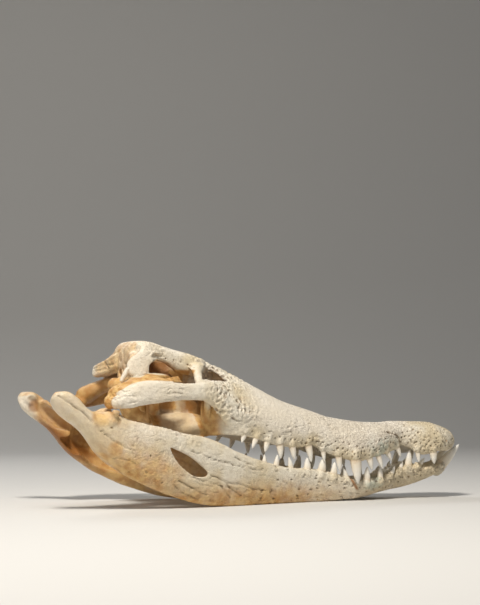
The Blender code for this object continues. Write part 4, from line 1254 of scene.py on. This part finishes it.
def texture_jaw(half, side):
    """Keeps how strong each kind of relief is on one half of the lower jaw."""
    mask = masks_over(jaw_fields(half, side))
    outside = mask(facing=(-0.1, 0.25))
    tip = mask(x=(140, 180))
    edge = mask(above_edge=(-13, -8))
    rear = mask(x=(-190, -160, -110, -60))
    upper_rear = mask(x=(-150, -120, -90, -60), z=(66, 76))
    side_pits = mask(x=(-178, -160, -125, -100), z=(48, 60))
    store(half, "pitted", outside * strongest(0.5 * upper_rear, 0.3 * edge * mask(x=(160, 185))))
    store(half, "dotted", outside * strongest(0.3 * tip, 0.8 * edge * tip))
    store(half, "knobbed", outside * edge * mask(x=(160, 190)))
    store(half, "grained", 0.6 * outside * strongest(tip, rear))
    store(half, "slit", outside * strongest(mask(x=(-20, 20, 170, 230)), 0.4 * side_pits))
    store(half, "lined", 0.5 * outside * mask(x=(-130, -90, 30, 120)))


def rest_on_floor(mesh):
    """Lifts to the floor whatever lies below it."""
    places = corners(mesh)
    places[:, 2] = np.maximum(places[:, 2], 0.0)
    mesh.vertices.foreach_set("co", places.astype(np.float32).ravel())


# Rows of small holes under the lower teeth: x of the rearmost hole, spacing, depth below the gum
JAW_HOLE_ROWS = ((50, 12.0, 9.0), (150, 7.0, 14.0))
JAW_HOLES_END = 262
JAW_HOLES = ((-185, 91), (-163, 42), (-140, 60), (-125, 30))  # single ones in the rear of its side
JAW_SLOPE = 0.22  # fall towards the chin of the long marks, as a share of their length
SEED_STEP = 31.0  # between the patterns of two seeds


def jaw_half(name, side, seed):
    """One half of the lower jaw, with its relief; side is 1 for the left and -1 for the right."""
    skin = carved(jaw_solids(), jaw_hollows())
    if side < 0:
        skin = mirrored(skin)
    rims = sockets_of([place for place in lower_places if place[0].y * side > 0])
    half = remeshed(joined([skin, *rims]), BONE_GRAIN, smoothing=3)
    texture_jaw(half, side)
    chance = random.Random(seed)
    holes = [[(x, 0, z)] for x, z in JAW_HOLES]
    for start, spacing, drop in JAW_HOLE_ROWS:
        holes += hole_row(start, JAW_HOLES_END, spacing, lambda x: jaw_column(HIGH, x) - drop, chance)
    half = with_relief(half, (in_space(JAW_SIDE_SEAMS, "y"), [], [], in_space(JAW_GROOVES, "y"), holes),
                       Seed=seed * SEED_STEP, Slope=JAW_SLOPE)
    rest_on_floor(half)
    half.shade_smooth()
    colour_jaw(half, side)
    body = finished_bone(name, half)
    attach(body, "root")
    return body


mandible_right = jaw_half("mandible_right", -1, 5)
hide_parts("dentary_right", "jaw_rear_right")
mandible_left = jaw_half("mandible_left", 1, 11)
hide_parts("dentary_left", "jaw_rear_left")

# ---------------------------------------------------------------------------------------------
# Teeth. Cones of enamel, one in each socket and a little bent back, with their roots inside the
# bone. The teeth of each jaw are copies of one pattern and make up one piece.

SOCKET_DEPTH = 4.0  # of a tooth's root below the gum
TOOTH_RINGS = 14  # along a tooth
TOOTH_SIDES = 20
TOOTH_BEND = 0.10  # of the tip, as a share of the tooth's width
TOOTH_FLATNESS = 0.86  # thickness across the bend, as a share of the width
TOOTH_TIP = 0.015  # radius of the blunt tip, as a share of the width


def tooth_pattern():
    """A tooth along +z, one unit long and one unit wide, whose tip bends towards +x."""
    turns = [2 * math.pi * k / TOOTH_SIDES for k in range(TOOTH_SIDES)]
    rings = []
    for i in range(TOOTH_RINGS + 1):
        t = i / TOOTH_RINGS
        radius = 0.5 * (0.94 + 0.06 * math.cos(math.pi * t)) * (1 - t**2.6) ** 0.8 + TOOTH_TIP
        bend = TOOTH_BEND * t * t - TOOTH_BEND / 2
        rings.append([(bend + radius * math.cos(turn), TOOTH_FLATNESS * radius * math.sin(turn), t)
                      for turn in turns])
    mesh = closed_skin(rings)
    store(mesh, "along", corners(mesh)[:, 2])
    return linked("tooth pattern", mesh)


def tooth_tree():
    """Node tree that sets a copy of one tooth on every point, turned, stretched and scaled as stored."""
    tree = new_tree("tooth row", (("Tooth", "Object", None), ("Enamel", "Material", None)))
    start = Wire(tree)
    given = start.node("NodeGroupInput")

    def stored(name):
        return start.node("GeometryNodeInputNamedAttribute", {"data_type": "FLOAT_VECTOR"}, {"Name": name})

    tooth = start.node("GeometryNodeObjectInfo", {}, {"Object": given.output("Tooth")}, "Geometry")
    turn = start.node("FunctionNodeEulerToRotation", {}, {0: stored("turn")})
    copies = start.node("GeometryNodeInstanceOnPoints", {}, {
        "Points": given.output("Geometry"), "Instance": tooth, "Rotation": turn, "Scale": stored("size")})
    finish_tree(start, copies, given.output("Enamel"))
    return tree


tooth_rows = tooth_tree()


# Colours of the enamel from root to tip, each with how far along the tooth it is reached
ENAMEL_STOPS = ((0.0, (0.62, 0.47, 0.30, 1)), (0.26, (0.78, 0.70, 0.57, 1)),
                (0.6, (0.82, 0.78, 0.70, 1)), (1.0, (0.74, 0.72, 0.67, 1)))


def enamel_surface(start):
    """Tooth enamel: brownish in the socket, cream above it and greyish at the tip."""
    place = start.node("ShaderNodeTexCoord", {}, {}, "Object")
    clouds = noise(place, 1 / 260, 3.0)
    along = start.node("ShaderNodeAttribute", {"attribute_name": "along"}, {}, "Fac")
    colour = start.node("ShaderNodeValToRGB", {"stops": ENAMEL_STOPS}, {"Fac": along + (clouds - 0.5) * 0.25})
    bump = start.node("ShaderNodeBump", {}, {
        "Strength": 0.15, "Distance": 0.0004, "Height": noise(place, 1 / 900)})
    return {"Base Color": colour, "Roughness": 0.22 + 0.14 * clouds, "Normal": bump}


enamel = new_material("enamel", enamel_surface)
pattern = tooth_pattern()


def tooth_row(name, places):
    """All teeth of one jaw as one piece."""
    roots = []
    turns = []
    sizes = []
    for base, tip, width in places:
        way = (tip - base).normalized()
        root = base - way * SOCKET_DEPTH
        across = way.cross(Vector((-1, 0, 0))).normalized()
        bend = across.cross(way)  # as far backwards as a right angle to the tooth allows
        roots.append(root)
        turns.append(Matrix((bend, across, way)).transposed().to_euler())
        sizes.append((width, width, (tip - root).length))
    points = bpy.data.meshes.new("points")
    points.from_pydata(roots, [], [])
    for layer, rows in (("turn", turns), ("size", sizes)):
        kept = points.attributes.new(layer, "FLOAT_VECTOR", "POINT")
        kept.data.foreach_set("vector", np.array(rows, dtype=np.float32).ravel())
    body = linked("points", points)
    mesh = in_metres(with_nodes(body, tooth_rows, {"Tooth": pattern, "Enamel": enamel}))
    bpy.data.objects.remove(body)
    mesh.shade_smooth()
    row = linked(name, mesh)
    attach(row, "root")


tooth_row("upper_teeth", upper_places)
tooth_row("lower_teeth", lower_places)
bpy.data.objects.remove(pattern)

# ---------------------------------------------------------------------------------------------
# Ear bone. A loose splint of pale bone that leans in the notch behind the right ear opening. It
# has no relief, and of the values that the bone's colour reads only its paleness is set.

SPLINT_GRAIN = 0.4  # voxel size of its skin
SPLINT_TRIANGLES = 8000

splint = rod(((-160.5, -72, 155.5, 2.2, 2.4), (-163.8, -72.5, 149.2, 2.6, 2.8),
              (-167.2, -73, 143.2, 2.1, 2.4)))
splint = remeshed(splint, SPLINT_GRAIN, smoothing=3)
for name in ("shelter", "carved", "tan", "green", "stain", "dotted", "grained", "pale"):
    store(splint, name, np.full(len(splint.vertices), name == "pale"))
splint.shade_smooth()
ear_bone = finished_bone("ear_splint", splint, SPLINT_TRIANGLES)
ear_bone.data.materials.append(dry_bone)
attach(ear_bone, "root")
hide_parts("ear_bone")

# ---------------------------------------------------------------------------------------------
# Stage: a plain pale floor, soft light from three sides, and the camera level with the skull, on
# its right and a little behind. Its sizes are in metres.

FLOOR_REACH = 6.0  # from the middle to either side and to the front
BEND_START = 1.6  # y where the floor starts to curve up
BEND_RADIUS = 1.2
BEND_STEPS = 16
FLOOR_TOP = 4.0


def stage_floor():
    """Wide pale sheet that curves up far behind the skull."""
    bm = bmesh.new()
    rings = []
    for x in (-FLOOR_REACH, FLOOR_REACH):
        row = [(x, -FLOOR_REACH, 0.0), (x, BEND_START, 0.0)]
        row += [(x, BEND_START + BEND_RADIUS * math.sin(a), BEND_RADIUS - BEND_RADIUS * math.cos(a))
                for a in np.linspace(0, math.pi / 2, BEND_STEPS + 1)[1:]]
        row.append((x, BEND_START + BEND_RADIUS, FLOOR_TOP))
        rings.append([bm.verts.new(point) for point in row])
    for i in range(len(rings[0]) - 1):
        bm.faces.new((rings[0][i], rings[1][i], rings[1][i + 1], rings[0][i + 1]))
    mesh = mesh_of(bm, "floor")
    mesh.shade_smooth()
    mesh.materials.append(new_material(
        "pale paper", lambda start: {"Base Color": (0.66, 0.65, 0.63, 1), "Roughness": 0.8}))
    return linked("floor", mesh)


def soft_light(name, place, target, size, energy, colour=(1, 1, 1)):
    """Round lamp of the given diameter and power that shines from its place at the target."""
    lamp = bpy.data.lights.new(name, "AREA")
    lamp.shape = "DISK"
    lamp.size = size
    lamp.energy = energy
    lamp.color = colour
    body = linked(name, lamp)
    body.location = place
    body.rotation_euler = (Vector(target) - Vector(place)).to_track_quat("-Z", "Y").to_euler()


floor = stage_floor()
soft_light("key", (-0.50, -0.72, 1.45), (0, 0, 0.08), 0.35, 28, (1.0, 0.95, 0.87))
soft_light("fill", (-1.7, -1.2, 0.5), (-0.1, 0, 0.08), 1.0, 5, (1.0, 0.95, 0.88))
soft_light("rim", (-0.3, 1.2, 1.4), (0, 0, 0.1), 0.8, 8)
world = bpy.data.worlds.new("studio")
world.use_nodes = True
background = world.node_tree.nodes["Background"]
Wire(world.node_tree).fill(background, {"Color": (0.86, 0.86, 0.86, 1), "Strength": 0.19})
bpy.context.scene.world = world

VIEW_TURN = math.radians(-20)  # from square to the right side, towards the rear
VIEW_DISTANCE = 1.8
EYE_HEIGHT = 0.126
PICTURE_ROWS = 605
HORIZON_ROW = 396.0  # the picture's row at eye height
FOCAL_ROWS = 1500.0  # focal length counted in rows
SENSOR = 36.0  # width of the sensor in millimetres

lens = bpy.data.cameras.new("camera")
lens.sensor_width = SENSOR
tilt = math.atan((HORIZON_ROW - PICTURE_ROWS / 2) / FOCAL_ROWS)
lens.lens = FOCAL_ROWS * SENSOR / PICTURE_ROWS * math.cos(tilt)
camera = linked("camera", lens)
away = Vector((math.sin(VIEW_TURN), -math.cos(VIEW_TURN), 0))
stand = away * VIEW_DISTANCE + Vector((-MIDDLE * MM, 0, EYE_HEIGHT))
camera.matrix_world = (Matrix.Translation(stand) @ Matrix.Rotation(VIEW_TURN, 4, "Z")
                       @ Matrix.Rotation(math.pi / 2 + tilt, 4, "X"))
bpy.context.scene.camera = camera
bpy.context.scene.view_settings.view_transform = "Standard"
